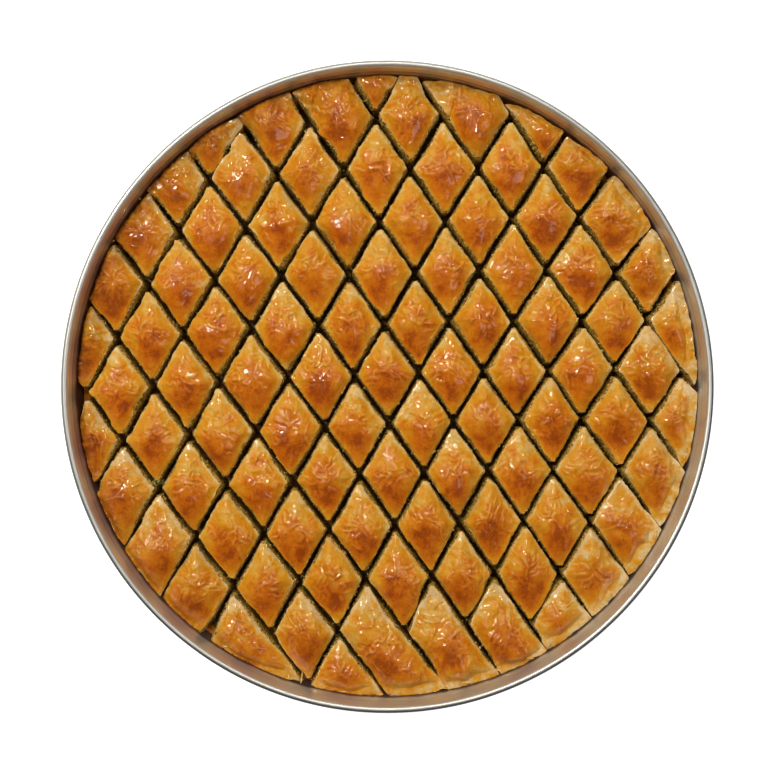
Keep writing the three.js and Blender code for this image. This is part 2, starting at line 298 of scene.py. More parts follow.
aluminium, tree = blank("spun_aluminium_oven_film_painted_light_and_shade")
place = node(tree, "ShaderNodeTexCoord").outputs["Object"]
xyz = node(tree, "ShaderNodeSeparateXYZ", {0: place})
square_x = node(tree, "ShaderNodeMath", {0: xyz.outputs["X"], 1: 2.0}, operation="POWER")
square_y = node(tree, "ShaderNodeMath", {0: xyz.outputs["Y"], 1: 2.0}, operation="POWER")
squares = node(tree, "ShaderNodeMath", {0: square_x.outputs[0], 1: square_y.outputs[0]})
radius = node(tree, "ShaderNodeMath", {0: squares.outputs[0]}, operation="SQRT")
rings = node(tree, "ShaderNodeCombineXYZ", {"X": radius.outputs[0], "Z": xyz.outputs["Z"]})
marks = node(tree, "ShaderNodeTexNoise", {
    "Vector": rings.outputs[0], "Scale": 1 / (SPIN_MARK * MM), "Detail": 3.0,
})
cloud = node(tree, "ShaderNodeTexNoise", {"Vector": place, "Scale": 1 / (14 * MM), "Detail": 6.0})
speck = node(tree, "ShaderNodeTexNoise", {"Vector": place, "Scale": 1 / (1.1 * MM), "Detail": 2.0})
low_down = node(tree, "ShaderNodeMapRange", {
    "Value": xyz.outputs["Z"], "From Min": FILM_TOP * MM, "From Max": FILM_FOOT * MM,
    "To Min": 0.0, "To Max": 0.8,
})
film = node(tree, "ShaderNodeMath", {
    0: cloud.outputs["Fac"], 1: low_down.outputs[0], 2: -0.73,
}, operation="MULTIPLY_ADD")
streaks = node(tree, "ShaderNodeTexNoise", {
    "Vector": rings.outputs[0], "Scale": 1 / (STREAK * MM), "Detail": 2.0,
})
streaked = node(tree, "ShaderNodeMath", {
    0: streaks.outputs["Fac"], 1: 1.5, 2: film.outputs[0],
}, operation="MULTIPLY_ADD")
film_amount = node(tree, "ShaderNodeMath", {0: low_down.outputs[0], 1: streaked.outputs[0]}, use_clamp=True)
toward_lower_right = node(tree, "ShaderNodeVectorMath", {
    0: place, 1: TOWARD_LOWER_RIGHT,
}, operation="DOT_PRODUCT")
# Painted light: the film is thinned towards the lower right, where the light falls on the wall.
film_thinned_as_painted_light = node(tree, "ShaderNodeMapRange", {
    "Value": toward_lower_right.outputs["Value"], "From Min": 0.0, "From Max": 0.14, "To Min": 1.0, "To Max": 0.42,
})
through_wall = node(tree, "ShaderNodeMath", {
    0: xyz.outputs["Z"], 1: -math.tan(WALL_FLARE), 2: radius.outputs[0],
}, operation="MULTIPLY_ADD")
on_the_inside = node(tree, "ShaderNodeMapRange", {
    "Value": through_wall.outputs[0], "From Min": (INSIDE_AT_FOOT + 0.4) * MM,
    "From Max": (INSIDE_AT_FOOT + 0.7) * MM, "To Min": 1.0, "To Max": 0.0,
})
film_on_this_side = node(tree, "ShaderNodeMapRange", {
    "Value": on_the_inside.outputs[0], "To Min": 0.3, "To Max": 1.0,
})
film_with_painted_light = node(tree, "ShaderNodeMath", {
    0: film_amount.outputs[0], 1: film_thinned_as_painted_light.outputs[0],
}, operation="MULTIPLY")
film_left = node(tree, "ShaderNodeMath", {
    0: film_with_painted_light.outputs[0], 1: film_on_this_side.outputs[0],
}, operation="MULTIPLY")
# Painted light: the film turns bluish grey towards the lower right.
painted_light_tint_share = node(tree, "ShaderNodeMapRange", {
    "Value": toward_lower_right.outputs["Value"], "From Min": -0.12, "From Max": 0.08, "To Min": 0.0, "To Max": 1.0,
})
film_tint_and_painted_light = node(tree, "ShaderNodeMix", {
    "Factor": painted_light_tint_share.outputs[0], "A": srgb("#8A5624"), "B": srgb("#90A2D2"),
}, data_type="RGBA")
film_colour = node(tree, "ShaderNodeMix", {
    "Factor": film_left.outputs[0], "A": srgb("#E4E6E8"), "B": film_tint_and_painted_light.outputs["Result"],
}, data_type="RGBA")
burnt = node(tree, "ShaderNodeMapRange", {
    "Value": speck.outputs["Fac"], "From Min": 0.70, "From Max": 0.76, "To Min": 0.0, "To Max": 0.8,
})
burnt_low = node(tree, "ShaderNodeMath", {
    0: burnt.outputs[0], 1: low_down.outputs[0],
}, operation="MULTIPLY")
# Painted shade: a dark brown line on the wall just above the baklava, where the gap lies in shadow.
uneven_height = node(tree, "ShaderNodeMath", {
    0: cloud.outputs["Fac"], 1: -5 * MM, 2: xyz.outputs["Z"],
}, operation="MULTIPLY_ADD")
painted_shade_line = node(tree, "ShaderNodeMapRange", {
    "Value": uneven_height.outputs[0], "From Min": SHADE_LINE_FOOT * MM, "From Max": SHADE_LINE_TOP * MM,
    "To Min": 0.8, "To Max": 0.0,
})
painted_shade_line_inside = node(tree, "ShaderNodeMath", {
    0: painted_shade_line.outputs[0], 1: on_the_inside.outputs[0],
}, operation="MULTIPLY")
# The burnt specks, which are real, and the painted shade line together.
browned_and_shaded = node(tree, "ShaderNodeMath", {
    0: burnt_low.outputs[0], 1: painted_shade_line_inside.outputs[0],
}, operation="MAXIMUM")
metal_colour = node(tree, "ShaderNodeMix", {
    "Factor": browned_and_shaded.outputs[0], "A": film_colour.outputs["Result"], "B": srgb("#5E3618"),
}, data_type="RGBA")
dullness = node(tree, "ShaderNodeMapRange", {
    "Value": cloud.outputs["Fac"], "From Min": 0.3, "From Max": 0.7, "To Min": 0.34, "To Max": 0.46,
})
# Painted shade: the outside of the rim is painted dark grey, most at the lower right, where it faces away
# from the light.
outside = node(tree, "ShaderNodeMapRange", {
    "Value": radius.outputs[0], "From Min": OUTER_SHADE_FROM * MM, "From Max": OUTER_SHADE_TO * MM,
    "To Min": 0.0, "To Max": 0.88,
})
painted_shade_round_rim = node(tree, "ShaderNodeMapRange", {
    "Value": toward_lower_right.outputs["Value"], "From Min": -0.12, "From Max": 0.08, "To Min": 0.4, "To Max": 1.0,
})
painted_shade_on_outer_rim = node(tree, "ShaderNodeMath", {
    0: outside.outputs[0], 1: painted_shade_round_rim.outputs[0],
}, operation="MULTIPLY")
colour_with_painted_rim_shade = node(tree, "ShaderNodeMix", {
    "Factor": painted_shade_on_outer_rim.outputs[0], "A": metal_colour.outputs["Result"], "B": srgb("#34343C"),
}, data_type="RGBA")
spin_relief = node(tree, "ShaderNodeBump", {
    "Height": marks.outputs["Fac"], "Strength": 0.35, "Distance": 0.03 * MM,
})
surfaced(tree, node(tree, "ShaderNodeBsdfPrincipled", {
    "Base Color": colour_with_painted_rim_shade.outputs["Result"],
    "Metallic": 0.76,
    "Roughness": dullness.outputs[0],
    "Normal": spin_relief.outputs[0],
}))

# %% [markdown]
# ## The tray
#
# On the real tray the floor runs through a round corner into the flared wall, and the sheet's edge is
# rolled outwards round a wire. A turned piece is one profile spun round an axis, so the profile is laid
# out as a chain of points from the middle of the floor, up the inside, over the bead and back down the
# outside. Where the rolled edge meets the wall again the real sheet ends, and a fine groove shows there.
# The same driving sizes as the solid tray's are used, with many more steps.

# %% The tray's profile
SHEET = 1.2
BEAD_RADIUS = 2.1
CORNER_RADIUS = 6.0
CORNER_STEPS = 10
BEAD_STEPS = 26
SPIN_STEPS = 288
FLOOR_RINGS = 10
GROOVE = 0.5

bead_centre = np.array([RIM_RADIUS - BEAD_RADIUS, RIM_HEIGHT - BEAD_RADIUS])
wall_top = bead_centre + BEAD_RADIUS * np.array([-math.cos(WALL_FLARE), math.sin(WALL_FLARE)])


def wall_radius(height):
    """The inside radius of the flared wall at a height."""
    return wall_top[0] - (wall_top[1] - height) * math.tan(WALL_FLARE)


def corner_arc(offset):
    """The round corner between the floor and the wall, offset outwards."""
    centre_height = SHEET + CORNER_RADIUS
    centre_radius = wall_radius(centre_height) - CORNER_RADIUS / math.cos(WALL_FLARE)
    turns = np.linspace(0, math.pi / 2 - WALL_FLARE, CORNER_STEPS + 1)
    arm = CORNER_RADIUS + offset
    return [(centre_radius + arm * math.sin(t), centre_height - arm * math.cos(t)) for t in turns]


def bead_arc():
    """The rolled bead, from the wall's inside over the top to the groove on the outside."""
    start = math.pi - WALL_FLARE
    wrapped = math.acos(1 - SHEET / BEAD_RADIUS)
    turns = np.linspace(start, start - 2 * math.pi + wrapped, BEAD_STEPS + 1)
    outside = [bead_centre + BEAD_RADIUS * np.array([math.cos(t), math.sin(t)]) for t in turns]
    in_the_groove = bead_centre + (BEAD_RADIUS - GROOVE) * np.array(
        [math.cos(turns[-1] + 0.12), math.sin(turns[-1] + 0.12)]
    )
    return [*outside[:-1], in_the_groove, outside[-1]]


inside = corner_arc(0.0)
outside = corner_arc(SHEET)[::-1]
floor_inside = [(r, SHEET) for r in np.linspace(0, inside[0][0], FLOOR_RINGS + 1)[:-1]]
floor_outside = [(r, 0.0) for r in np.linspace(outside[-1][0], 0, FLOOR_RINGS + 1)[1:]]
profile = [*floor_inside, *inside, *bead_arc(), *outside, *floor_outside]
print("profile points", len(profile), "wall radius at the food's edge", round(wall_radius(25), 2))

# %% Spin the tray
DENT_LENGTH = 45.0
DENT_DEPTH = 0.16


def spun(profile, steps):
    """The profile of (radius, height) points turned all the way round."""
    shape = bmesh.new()
    chain = [shape.verts.new((r, 0, z)) for r, z in profile]
    edges = [shape.edges.new(pair) for pair in zip(chain, chain[1:])]
    bmesh.ops.spin(
        shape, geom=chain + edges, axis=(0, 0, 1), cent=(0, 0, 0), angle=2 * math.pi,
        steps=steps, use_merge=True,
    )
    bmesh.ops.remove_doubles(shape, verts=shape.verts, dist=1e-4)
    bmesh.ops.recalc_face_normals(shape, faces=shape.faces)
    return shape


tray_mesh = mesh_from(spun(profile, SPIN_STEPS), "tray_metal")
points = points_of(tray_mesh)
turn_only = points * [1, 1, 0]
dent = (wobble(turn_only, DENT_LENGTH, 11) - 1) * DENT_DEPTH / 2
height_share = np.clip(points[:, 2] / RIM_HEIGHT, 0, 1)
outwards = turn_only / np.maximum(np.linalg.norm(turn_only, axis=1), 1)[:, None]
points = points + outwards * (dent * height_share)[:, None]
tray = finished(tray_mesh, points, [aluminium])
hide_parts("tray")
print("tray faces", len(tray_mesh.polygons))

# %% [markdown]
# ## The knife strokes
#
# The cook cuts ten slightly bowed strokes in each direction. One family runs down to the right and the
# other down to the left, and a diamond lies between two strokes of each. The strips between the strokes
# aren't equally wide, because they were judged by eye. The numbers are real widths in millimetres, the
# same as in the solid model, and a crossing is found by letting two straight lines close in on it.

# %% The knife strokes
BOW_REACH = 124.0
OUTER_STRIP = 60.0
CROSSING_PASSES = 8
DOWN_RIGHT = {
    "first": -158.5,
    "widths": [34.8, 35.3, 33.4, 33.8, 33.9, 33.9, 36, 34.6, 35.1],
    "angle": 56.2,
    "turn": -0.39,
    "bows": [0.5, 0, -0.9, -0.3, 0.3, 0.9, 0.9, -0.3, -0.8, -0.8],
}
DOWN_LEFT = {
    "first": -151.7,
    "widths": [36.1, 34.7, 34, 34.4, 33.7, 35.3, 35.9, 34.3, 34.9],
    "angle": 120.3,
    "turn": 0.0,
    "bows": [-2.5, -3.4, -5.8, -2.3, -1.6, -0.8, -0.4, -0.9, -0.9, -3.1],
}


def strokes(first, widths, angle, turn, bows):
    """Each stroke's distance from the middle, its bow, and its directions along and across."""
    offsets = first + np.concatenate([[0], np.cumsum(widths)])
    offsets = [offsets[0] - OUTER_STRIP, *offsets, offsets[-1] + OUTER_STRIP]
    made = []
    for k, offset in enumerate(offsets):
        inner = min(max(k - 1, 0), len(bows) - 1)
        radians = math.radians(angle + turn * inner)
        along = np.array([math.cos(radians), -math.sin(radians)])
        across = np.array([-math.sin(radians), -math.cos(radians)])
        made.append((offset, bows[inner], along, across))
    return made


down_right = strokes(**DOWN_RIGHT)
down_left = strokes(**DOWN_LEFT)
STRIPS = len(down_right) - 1


def crossing(one, other):
    """Where two bowed strokes cross."""
    point = np.zeros(2)
    normals = np.array([one[3], other[3]])
    for _ in range(CROSSING_PASSES):
        distances = [s[0] + s[1] * (point @ s[2] / BOW_REACH) ** 2 for s in (one, other)]
        point = np.linalg.solve(normals, distances)
    return point


def corners(strips_i, strips_j):
    """A cell's corners, anticlockwise from the right. It may run over several strips."""
    first_i, last_i = strips_i
    first_j, last_j = strips_j
    return np.array([
        crossing(down_right[first_i], down_left[first_j]),
        crossing(down_right[first_i], down_left[last_j + 1]),
        crossing(down_right[last_i + 1], down_left[last_j + 1]),
        crossing(down_right[last_i + 1], down_left[first_j]),
    ])


def inset(outline, distance):
    """The outline with every side moved inwards."""
    following = np.roll(outline, -1, axis=0)
    directions = following - outline
    directions /= np.linalg.norm(directions, axis=1)[:, None]
    inwards = np.stack([-directions[:, 1], directions[:, 0]], axis=1)
    starts = (inwards * outline).sum(axis=1) + distance
    made = [np.linalg.solve([inwards[k - 1], inwards[k]], [starts[k - 1], starts[k]]) for k in range(4)]
    return np.array(made), inwards, starts


# %% [markdown]
# ## Which cells hold a piece
#
# The diamonds away from the wall are the solid model's own nodes. Round the edge the wall cuts the
# diamonds short, and a few cuts closed again in the oven, so that neighbours in one strip still hang
# together. A cell is tried out as a single face that is cut to the wall with the same operator that will
# trim the finished piece. What is left of it, if more than a crumb, is a piece.

# %% Which cells hold a piece
EDGE_TOP = 25.0
WALL_GAP = 1.5
CRUMB_AREA = 110.0
WALL_CUTS = 72
GROWN_TOGETHER = [
    (3, 8, 9), (1, 6, 7), (8, 1, 3), (7, 1, 2), (6, 0, 1),
    (10, 4, 5), (4, 9, 10), (0, 5, 6), (0, 0, 1), (9, 2, 3),
]

edge_radius = wall_radius(EDGE_TOP) - WALL_GAP


def cut_to_wall(shape):
    """Cuts a flat shape to a circle just inside the wall."""
    here = np.array([vert.co[:2] for vert in shape.verts])
    for k in range(WALL_CUTS):
        turn = (k + 0.5) * 2 * math.pi / WALL_CUTS
        normal = np.array([math.cos(turn), math.sin(turn)])
        if (here @ normal).max() > edge_radius:
            bmesh.ops.bisect_plane(
                shape, geom=[*shape.verts, *shape.edges, *shape.faces], dist=1e-4,
                plane_co=(*(normal * edge_radius), 0), plane_no=(*normal, 0), clear_outer=True,
            )


def area_left(outline):
    """The area of a cell inside the wall."""
    trial = bmesh.new()
    trial.faces.new([trial.verts.new((*corner, 0)) for corner in outline])
    cut_to_wall(trial)
    area = sum(face.calc_area() for face in trial.faces)
    trial.free()
    return area


in_a_group = {(i, j) for i, first, last in GROWN_TOGETHER for j in range(first, last + 1)}
inner_cells, edge_cells = [], []
for i in range(STRIPS):
    for j in range(STRIPS):
        if f"piece_{i}_{j}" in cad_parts:
            inner_cells.append(((i, i), (j, j)))
        elif (i, j) not in in_a_group and area_left(corners((i, i), (j, j))) > CRUMB_AREA:
            edge_cells.append(((i, i), (j, j)))
edge_cells += [((i, i), (first, last)) for i, first, last in GROWN_TOGETHER]
print("inner pieces", len(inner_cells), "edge pieces", len(edge_cells))

# %% [markdown]
# ## Baked filo
#
# The crust is paper-thin wheat pastry, brushed with butter, browned in the oven and glazed with sugar
# syrup. Three things reach the eye: a pale cream where the knife left the sheets' edges, gold turning to
# deep orange where the crown stood nearest the heat, and on top a clear wet coat. The browning is stored
# on each piece as a number, which also holds painted shade and light: the lower half of each diamond and
# the furrows beside the creases are painted darker, and the far tip paler. A second number paints thin
# raised ridges pale, partly as flaking sheets and partly as painted highlight. A third paints the edge
# along the wall at the upper left dark brown as the wall's shadow, and on the crumpled edge it is that
# edge's own browning. The coat is the shader's own, as smooth as set syrup. The widest ridges are
# modelled, and the finer ones between them are drawn as bump.

# %% Baked filo
FINE_CREASE = 2.8
MOTTLE = 5.0
FRECKLE = 1.5


def baked_filo(name, stops, coat_roughness):
    """Browned and glazed filo. The stops run from the cut edge's colour to the darkest browning."""
    material, tree = blank(name)
    place = node(tree, "ShaderNodeTexCoord").outputs["Object"]
    # Browning, with painted shade on the lower half of each diamond and in the furrows, and painted light on
    # the far tip.
    toast_and_painted_shade = node(tree, "ShaderNodeAttribute", attribute_name="toast_and_painted_shade")
    mottle = node(tree, "ShaderNodeTexNoise", {
        "Vector": place, "Scale": 1 / (MOTTLE * MM), "Detail": 3.0, "Roughness": 0.55,
    })
    uneven = node(tree, "ShaderNodeMapRange", {
        "Value": mottle.outputs["Fac"], "From Min": 0.25, "From Max": 0.75, "To Min": -0.17, "To Max": 0.17,
    })
    freckle = node(tree, "ShaderNodeTexNoise", {
        "Vector": place, "Scale": 1 / (FRECKLE * MM), "Detail": 3.0, "Distortion": 0.6,
    })
    spotted = node(tree, "ShaderNodeMapRange", {
        "Value": freckle.outputs["Fac"], "From Min": 0.3, "From Max": 0.7, "To Min": -0.11, "To Max": 0.11,
    })
    patches = node(tree, "ShaderNodeMath", {0: uneven.outputs[0], 1: spotted.outputs[0]})
    browning = node(tree, "ShaderNodeMath", {
        0: toast_and_painted_shade.outputs["Fac"], 1: patches.outputs[0],
    }, use_clamp=True)
    baked = node(tree, "ShaderNodeValToRGB", {"Fac": browning.outputs[0]}, stops=stops)
    # Pale raised ridges: partly flaking sheets, partly painted highlight.
    flaky_and_painted_highlight = node(tree, "ShaderNodeAttribute", attribute_name="flaky_and_painted_highlight")
    ridged = node(tree, "ShaderNodeMix", {
        "Factor": flaky_and_painted_highlight.outputs["Fac"], "A": baked.outputs["Color"], "B": srgb("#F6D096"),
    }, data_type="RGBA")
    # Dark brown along the wall: painted shade of the wall on the pieces, and the crumpled edge's own
    # browning on it.
    scorch_and_painted_shade = node(tree, "ShaderNodeAttribute", attribute_name="scorch_and_painted_shade")
    colour = node(tree, "ShaderNodeMix", {
        "Factor": scorch_and_painted_shade.outputs["Fac"], "A": ridged.outputs["Result"], "B": srgb("#744218"),
    }, data_type="RGBA")
    creases = node(tree, "ShaderNodeTexNoise", {
        "Vector": place, "Scale": 1 / (FINE_CREASE * MM), "Detail": 3.0, "Distortion": 0.9,
    }, noise_type="RIDGED_MULTIFRACTAL")
    rough = node(tree, "ShaderNodeMapRange", {
        "Value": toast_and_painted_shade.outputs["Fac"], "From Min": 0.4, "From Max": 0.75, "To Min": 1.0, "To Max": 0.15,
    })
    relief = node(tree, "ShaderNodeBump", {
        "Height": creases.outputs["Fac"], "Strength": rough.outputs[0], "Distance": 0.15 * MM,
    })
    surfaced(tree, node(tree, "ShaderNodeBsdfPrincipled", {
        "Base Color": colour.outputs["Result"],
        "Roughness": 0.4,
        "IOR": 1.45,
        "Specular IOR Level": 0.15,
        "Normal": relief.outputs[0],
        "Coat Weight": 0.85,
        "Coat Roughness": coat_roughness,
        "Coat IOR": 1.48,
        "Coat Normal": relief.outputs[0],
    }))
    return material


CRUST_STOPS = [
    (0.00, "#EDCC8A"),
    (0.10, "#E6B650"),
    (0.20, "#E8A930"),
    (0.34, "#E89B18"),
    (0.58, "#DF7F0A"),
    (0.80, "#CD6800"),
    (1.00, "#A84A00"),
]
crust = baked_filo("baked_filo_glazed_with_syrup", CRUST_STOPS, 0.07)

# %% [markdown]
# ## The cut sides
#
# The knife shows the build of the pastry: some forty sheets of filo, a band of ground pistachio in the
# middle, and more sheets below, all soaked with syrup. The sheets are a third to half a millimetre thick
# after baking. That is finer than the picture can show, so the stripes are drawn a little coarser, each
# seven tenths of a millimetre thick. The colours follow the height above the table, and a crumbly pattern
# breaks them up, because the knife tears as much as it cuts. The wave texture runs through twenty radians
# for each unit of length, and half a turn of it is one stripe.

# %% The cut sides
LAYER = 0.7
CRUMBLE = 1.7
WAVE_RADIANS = 20

layers, tree = blank("cut_filo_layers_and_pistachio")
place = node(tree, "ShaderNodeTexCoord").outputs["Object"]
height = node(tree, "ShaderNodeSeparateXYZ", {0: place})
waviness = node(tree, "ShaderNodeTexNoise", {"Vector": place, "Scale": 1 / (7 * MM), "Detail": 3.0})
wavy_height = node(tree, "ShaderNodeMath", {
    0: waviness.outputs["Fac"], 1: 2.6 * MM, 2: height.outputs["Z"],
}, operation="MULTIPLY_ADD")
share = node(tree, "ShaderNodeMapRange", {
    "Value": wavy_height.outputs[0], "From Min": 1.3 * MM, "From Max": 26.3 * MM,
})
build = node(tree, "ShaderNodeValToRGB", {"Fac": share.outputs[0]}, stops=[
    (0.00, "#8C5412"),
    (0.26, "#A4681E"),
    (0.34, "#987E22"),
    (0.60, "#AA9238"),
    (0.72, "#C09C44"),
    (0.88, "#D6B05A"),
    (1.00, "#E8C274"),
])
stripes = node(tree, "ShaderNodeTexWave", {
    "Vector": place, "Scale": math.pi / (LAYER * MM * WAVE_RADIANS), "Distortion": 2.2, "Detail": 2.0,
    "Detail Scale": 0.6,
}, bands_direction="Z")
stripe_share = node(tree, "ShaderNodeMapRange", {
    "Value": stripes.outputs["Fac"], "To Min": 0.55, "To Max": 1.12,
})
striped = node(tree, "ShaderNodeVectorMath", {
    0: build.outputs["Color"], "Scale": stripe_share.outputs[0],
}, operation="SCALE")
crumble = node(tree, "ShaderNodeTexNoise", {
    "Vector": place, "Scale": 1 / (CRUMBLE * MM), "Detail": 3.0, "Roughness": 0.6,
})
crumbly = node(tree, "ShaderNodeMapRange", {
    "Value": crumble.outputs["Fac"], "From Min": 0.36, "From Max": 0.64, "To Min": 0.15, "To Max": 2.0,
})
speckled = node(tree, "ShaderNodeVectorMath", {
    0: striped.outputs[0], "Scale": crumbly.outputs[0],
}, operation="SCALE")
stripe_relief = node(tree, "ShaderNodeBump", {
    "Height": stripes.outputs["Fac"], "Strength": 0.5, "Distance": 0.2 * MM,
})
layer_relief = node(tree, "ShaderNodeBump", {
    "Height": crumble.outputs["Fac"], "Strength": 0.9, "Distance": 0.5 * MM,
    "Normal": stripe_relief.outputs[0],
})
surfaced(tree, node(tree, "ShaderNodeBsdfPrincipled", {
    "Base Color": speckled.outputs[0],
    "Roughness": 0.5,
    "IOR": 1.45,
    "Normal": layer_relief.outputs[0],
    "Coat Weight": 0.35,
    "Coat Roughness": 0.25,
    "Coat IOR": 1.48,
}))

# %% [markdown]
# ## How a piece is shaped
#
# A piece could be sculpted from a cube, but its real making is a better guide: flat sheets, cut by a
# knife, puffed by steam. So it starts as a flat grid between the strokes, the wall trims it where it
# meets the tray, the rim of the sheet is drawn down in steps to the tray's floor, and the foot is closed.
# The grid's squares are a little narrower than a pixel of the picture.

# %% Sheet and sides
SPACING = 0.5
FOOD_BOTTOM = 1.5
SIDE_STEPS = 10
SIDE_EASE = 1.8
BLUNT_TIPS = [0.4, 1.5, 0.4, 1.4]
TOP_FACES, SIDE_FACES = 0, 1


def top_sheet(outline):
    """A flat grid between four corners, at the height of the cut edge."""
    right, up, left, down = outline
    shape = bmesh.new()
    steps_u = round(max(np.linalg.norm(up - right), np.linalg.norm(left - down)) / SPACING)
    steps_v = round(max(np.linalg.norm(down - right), np.linalg.norm(left - up)) / SPACING)
    bmesh.ops.create_grid(shape, x_segments=steps_u, y_segments=steps_v, size=1)
    spots = [((vert.co.x + 1) / 2, (vert.co.y + 1) / 2) for vert in shape.verts]
    for axis in (0, 1):
        a, b, c, d = (float(corner[axis]) for corner in (right, up, down, left))
        for vert, (u, v) in zip(shape.verts, spots):
            vert.co[axis] = (a * (1 - u) + b * u) * (1 - v) + (c * (1 - u) + d * u) * v
    bmesh.ops.translate(shape, verts=shape.verts, vec=(0, 0, EDGE_TOP))
    return shape


def blunt_tips(shape, outline):
    """Takes the points off the four corners, where the brittle sheets break."""
    for k, depth in enumerate(BLUNT_TIPS):
        corner = outline[k]
        arms = outline[[k - 1, (k + 1) % 4]] - corner
        outwards = -(arms / np.linalg.norm(arms, axis=1)[:, None]).sum(axis=0)
        outwards /= np.linalg.norm(outwards)
        bmesh.ops.bisect_plane(
            shape, geom=[*shape.verts, *shape.edges, *shape.faces], dist=1e-4,
            plane_co=(*(corner - outwards * depth), 0), plane_no=(*outwards, 0), clear_outer=True,
        )


def draw_down_sides(shape):
    """Extrudes the sheet's rim down to the tray's floor in steps that widen, and closes the foot."""
    rim = [edge for edge in shape.edges if edge.is_boundary]
    depths = (EDGE_TOP - FOOD_BOTTOM) * (np.arange(SIDE_STEPS + 1) / SIDE_STEPS) ** SIDE_EASE
    for step in np.diff(depths):
        made = bmesh.ops.extrude_edge_only(shape, edges=rim)["geom"]
        lower = [part for part in made if isinstance(part, bmesh.types.BMVert)]
        rim = [part for part in made if isinstance(part, bmesh.types.BMEdge) and part.is_boundary]
        bmesh.ops.translate(shape, verts=lower, vec=(0, 0, -step))
        for part in made:
            if isinstance(part, bmesh.types.BMFace):
                part.material_index = SIDE_FACES
    for face in bmesh.ops.contextual_create(shape, geom=rim)["faces"]:
        face.material_index = SIDE_FACES
    bmesh.ops.recalc_face_normals(shape, faces=shape.faces)


# %% [markdown]
# ## Puff, crinkle and crease
#
# Steam lifts the top sheets, and the knife's edge holds them down, so the height grows with the distance
# from every side: steeply at first, then less. Multiplying one such rise for each side gives a pillow,
# and taking the nearest side alone gives a hipped roof with ridges into the corners. The real crown lies
# between the two, so both are mixed. Along the wall at the lower right the crust is flat and pale for some
# millimetres before it rises. The thin crust over the crown is blistered and creased: blisters are wide
# low bumps, and creases are narrow curled ridges, some a centimetre long, gathered round the middle.
# These catch the light as bright streaks.

# %% Puff
PUFF_REACH = 6.5
WALL_PUFF_REACH = 3.4
FLAT_MARGIN = 4.6
PALE_AT = math.radians(-35)
CROWN_RISE = 6.2
FULL_PILLOW = 0.72
FULL_ROOF = 0.91
HIP_ROUNDING = 0.9
ROOF_SHARE = 0.55


def pale_share(points):
    """How pale and flat the edge along the wall is: 1 at the lower right of the tray, 0 across from it."""
    turn = np.arctan2(points[:, 1], points[:, 0])
    return np.clip(0.5 + 0.5 * np.cos(turn - PALE_AT), 0, 1) ** 1.4


def rise_over(points, inwards, starts, at_wall):
    """From 0 at the sides to about 1 over the middle of a whole diamond."""
    depths = np.clip(points[:, :2] @ inwards.T - starts, 0, None)
    pillow = np.prod(1 - np.exp(-depths / PUFF_REACH), axis=1) / FULL_PILLOW
    nearest = np.clip(-HIP_ROUNDING * np.log(np.exp(-depths / HIP_ROUNDING).sum(axis=1)), 0, None)
    roof = (1 - np.exp(-nearest / PUFF_REACH)) / FULL_ROOF
    rise = ROOF_SHARE * roof + (1 - ROOF_SHARE) * pillow
    if at_wall:
        depth = edge_radius - np.linalg.norm(points[:, :2], axis=1)
        depth -= FLAT_MARGIN * pale_share(points) * (1 + 0.6 * wobble(points * [1, 1, 0], 11.0, 33))
        rise *= 1 - 0.92 * np.exp(-np.clip(depth, 0, None) / WALL_PUFF_REACH)
    return rise


# %% Creases and blisters
CREASES = 30
CREASE_STEP = 0.55
BLISTERS = 4


def crease_path(draw, middle, reach):
    """A curled line of points. Most creases run outwards from the middle of the piece."""
    length = draw.uniform(3, 12)
    steps = np.arange(0, length, CREASE_STEP)
    start = draw.normal(0, 1, 2) * reach
    outwards = math.atan2(start[1], start[0])
    heading = outwards + draw.normal(0, 0.45) if draw.random() < 0.65 else draw.uniform(0, 2 * math.pi)
    heading = heading + draw.normal(0, 0.09) * steps + draw.normal(0, 0.35) * np.sin(steps)
    path = np.cumsum(np.stack([np.cos(heading), np.sin(heading)], axis=1) * CREASE_STEP, axis=0)
    return middle + start + path - path.mean(axis=0), np.sin(math.pi * steps / length)


def creased(points, draw, middle, reach, count):
    """The height of narrow ridges along curled lines, each with a shallow valley beside it."""
    relief = np.zeros(len(points))
    for _ in range(count):
        path, taper = crease_path(draw, middle, reach)
        width = draw.uniform(0.5, 1.05)
        ridge_height = draw.uniform(0.4, 1.25)
        near = np.abs(points[:, :2] - path.mean(axis=0)).max(axis=1) < len(path) * CREASE_STEP / 2 + 4
        away = np.linalg.norm(points[near, None, :2] - path[None], axis=2)
        ridge = (np.exp(-(away / width) ** 2) * taper).max(axis=1, initial=0)
        valley = (np.exp(-(away / (2.6 * width)) ** 2) * taper).max(axis=1, initial=0)
        relief[near] += ridge_height * (ridge - 0.4 * valley)
    return relief


def blistered(points, draw, middle, reach, count):
    """The height of wide low bumps."""
    relief = np.zeros(len(points))
    for _ in range(count):
        centre = middle + draw.normal(0, 1, 2) * reach
        width = draw.uniform(2.6, 5.2)
        away = np.linalg.norm(points[:, :2] - centre, axis=1)
        relief += draw.uniform(0.3, 0.85) * np.exp(-(away / width) ** 2)
    return relief


# %% [markdown]
# ## How far each cut stays open
#
# The knife's gap isn't equally wide. Toward the wall most cuts narrow to a line, and some closed again
# under the crust, while others gape at a rounded corner. The places are listed as a direction round the
# tray in degrees, a distance from the middle and a reach in millimetres, and the share of the gap that is
# left. A share of nothing lets the two sides touch, and a share above one is a wider gap.

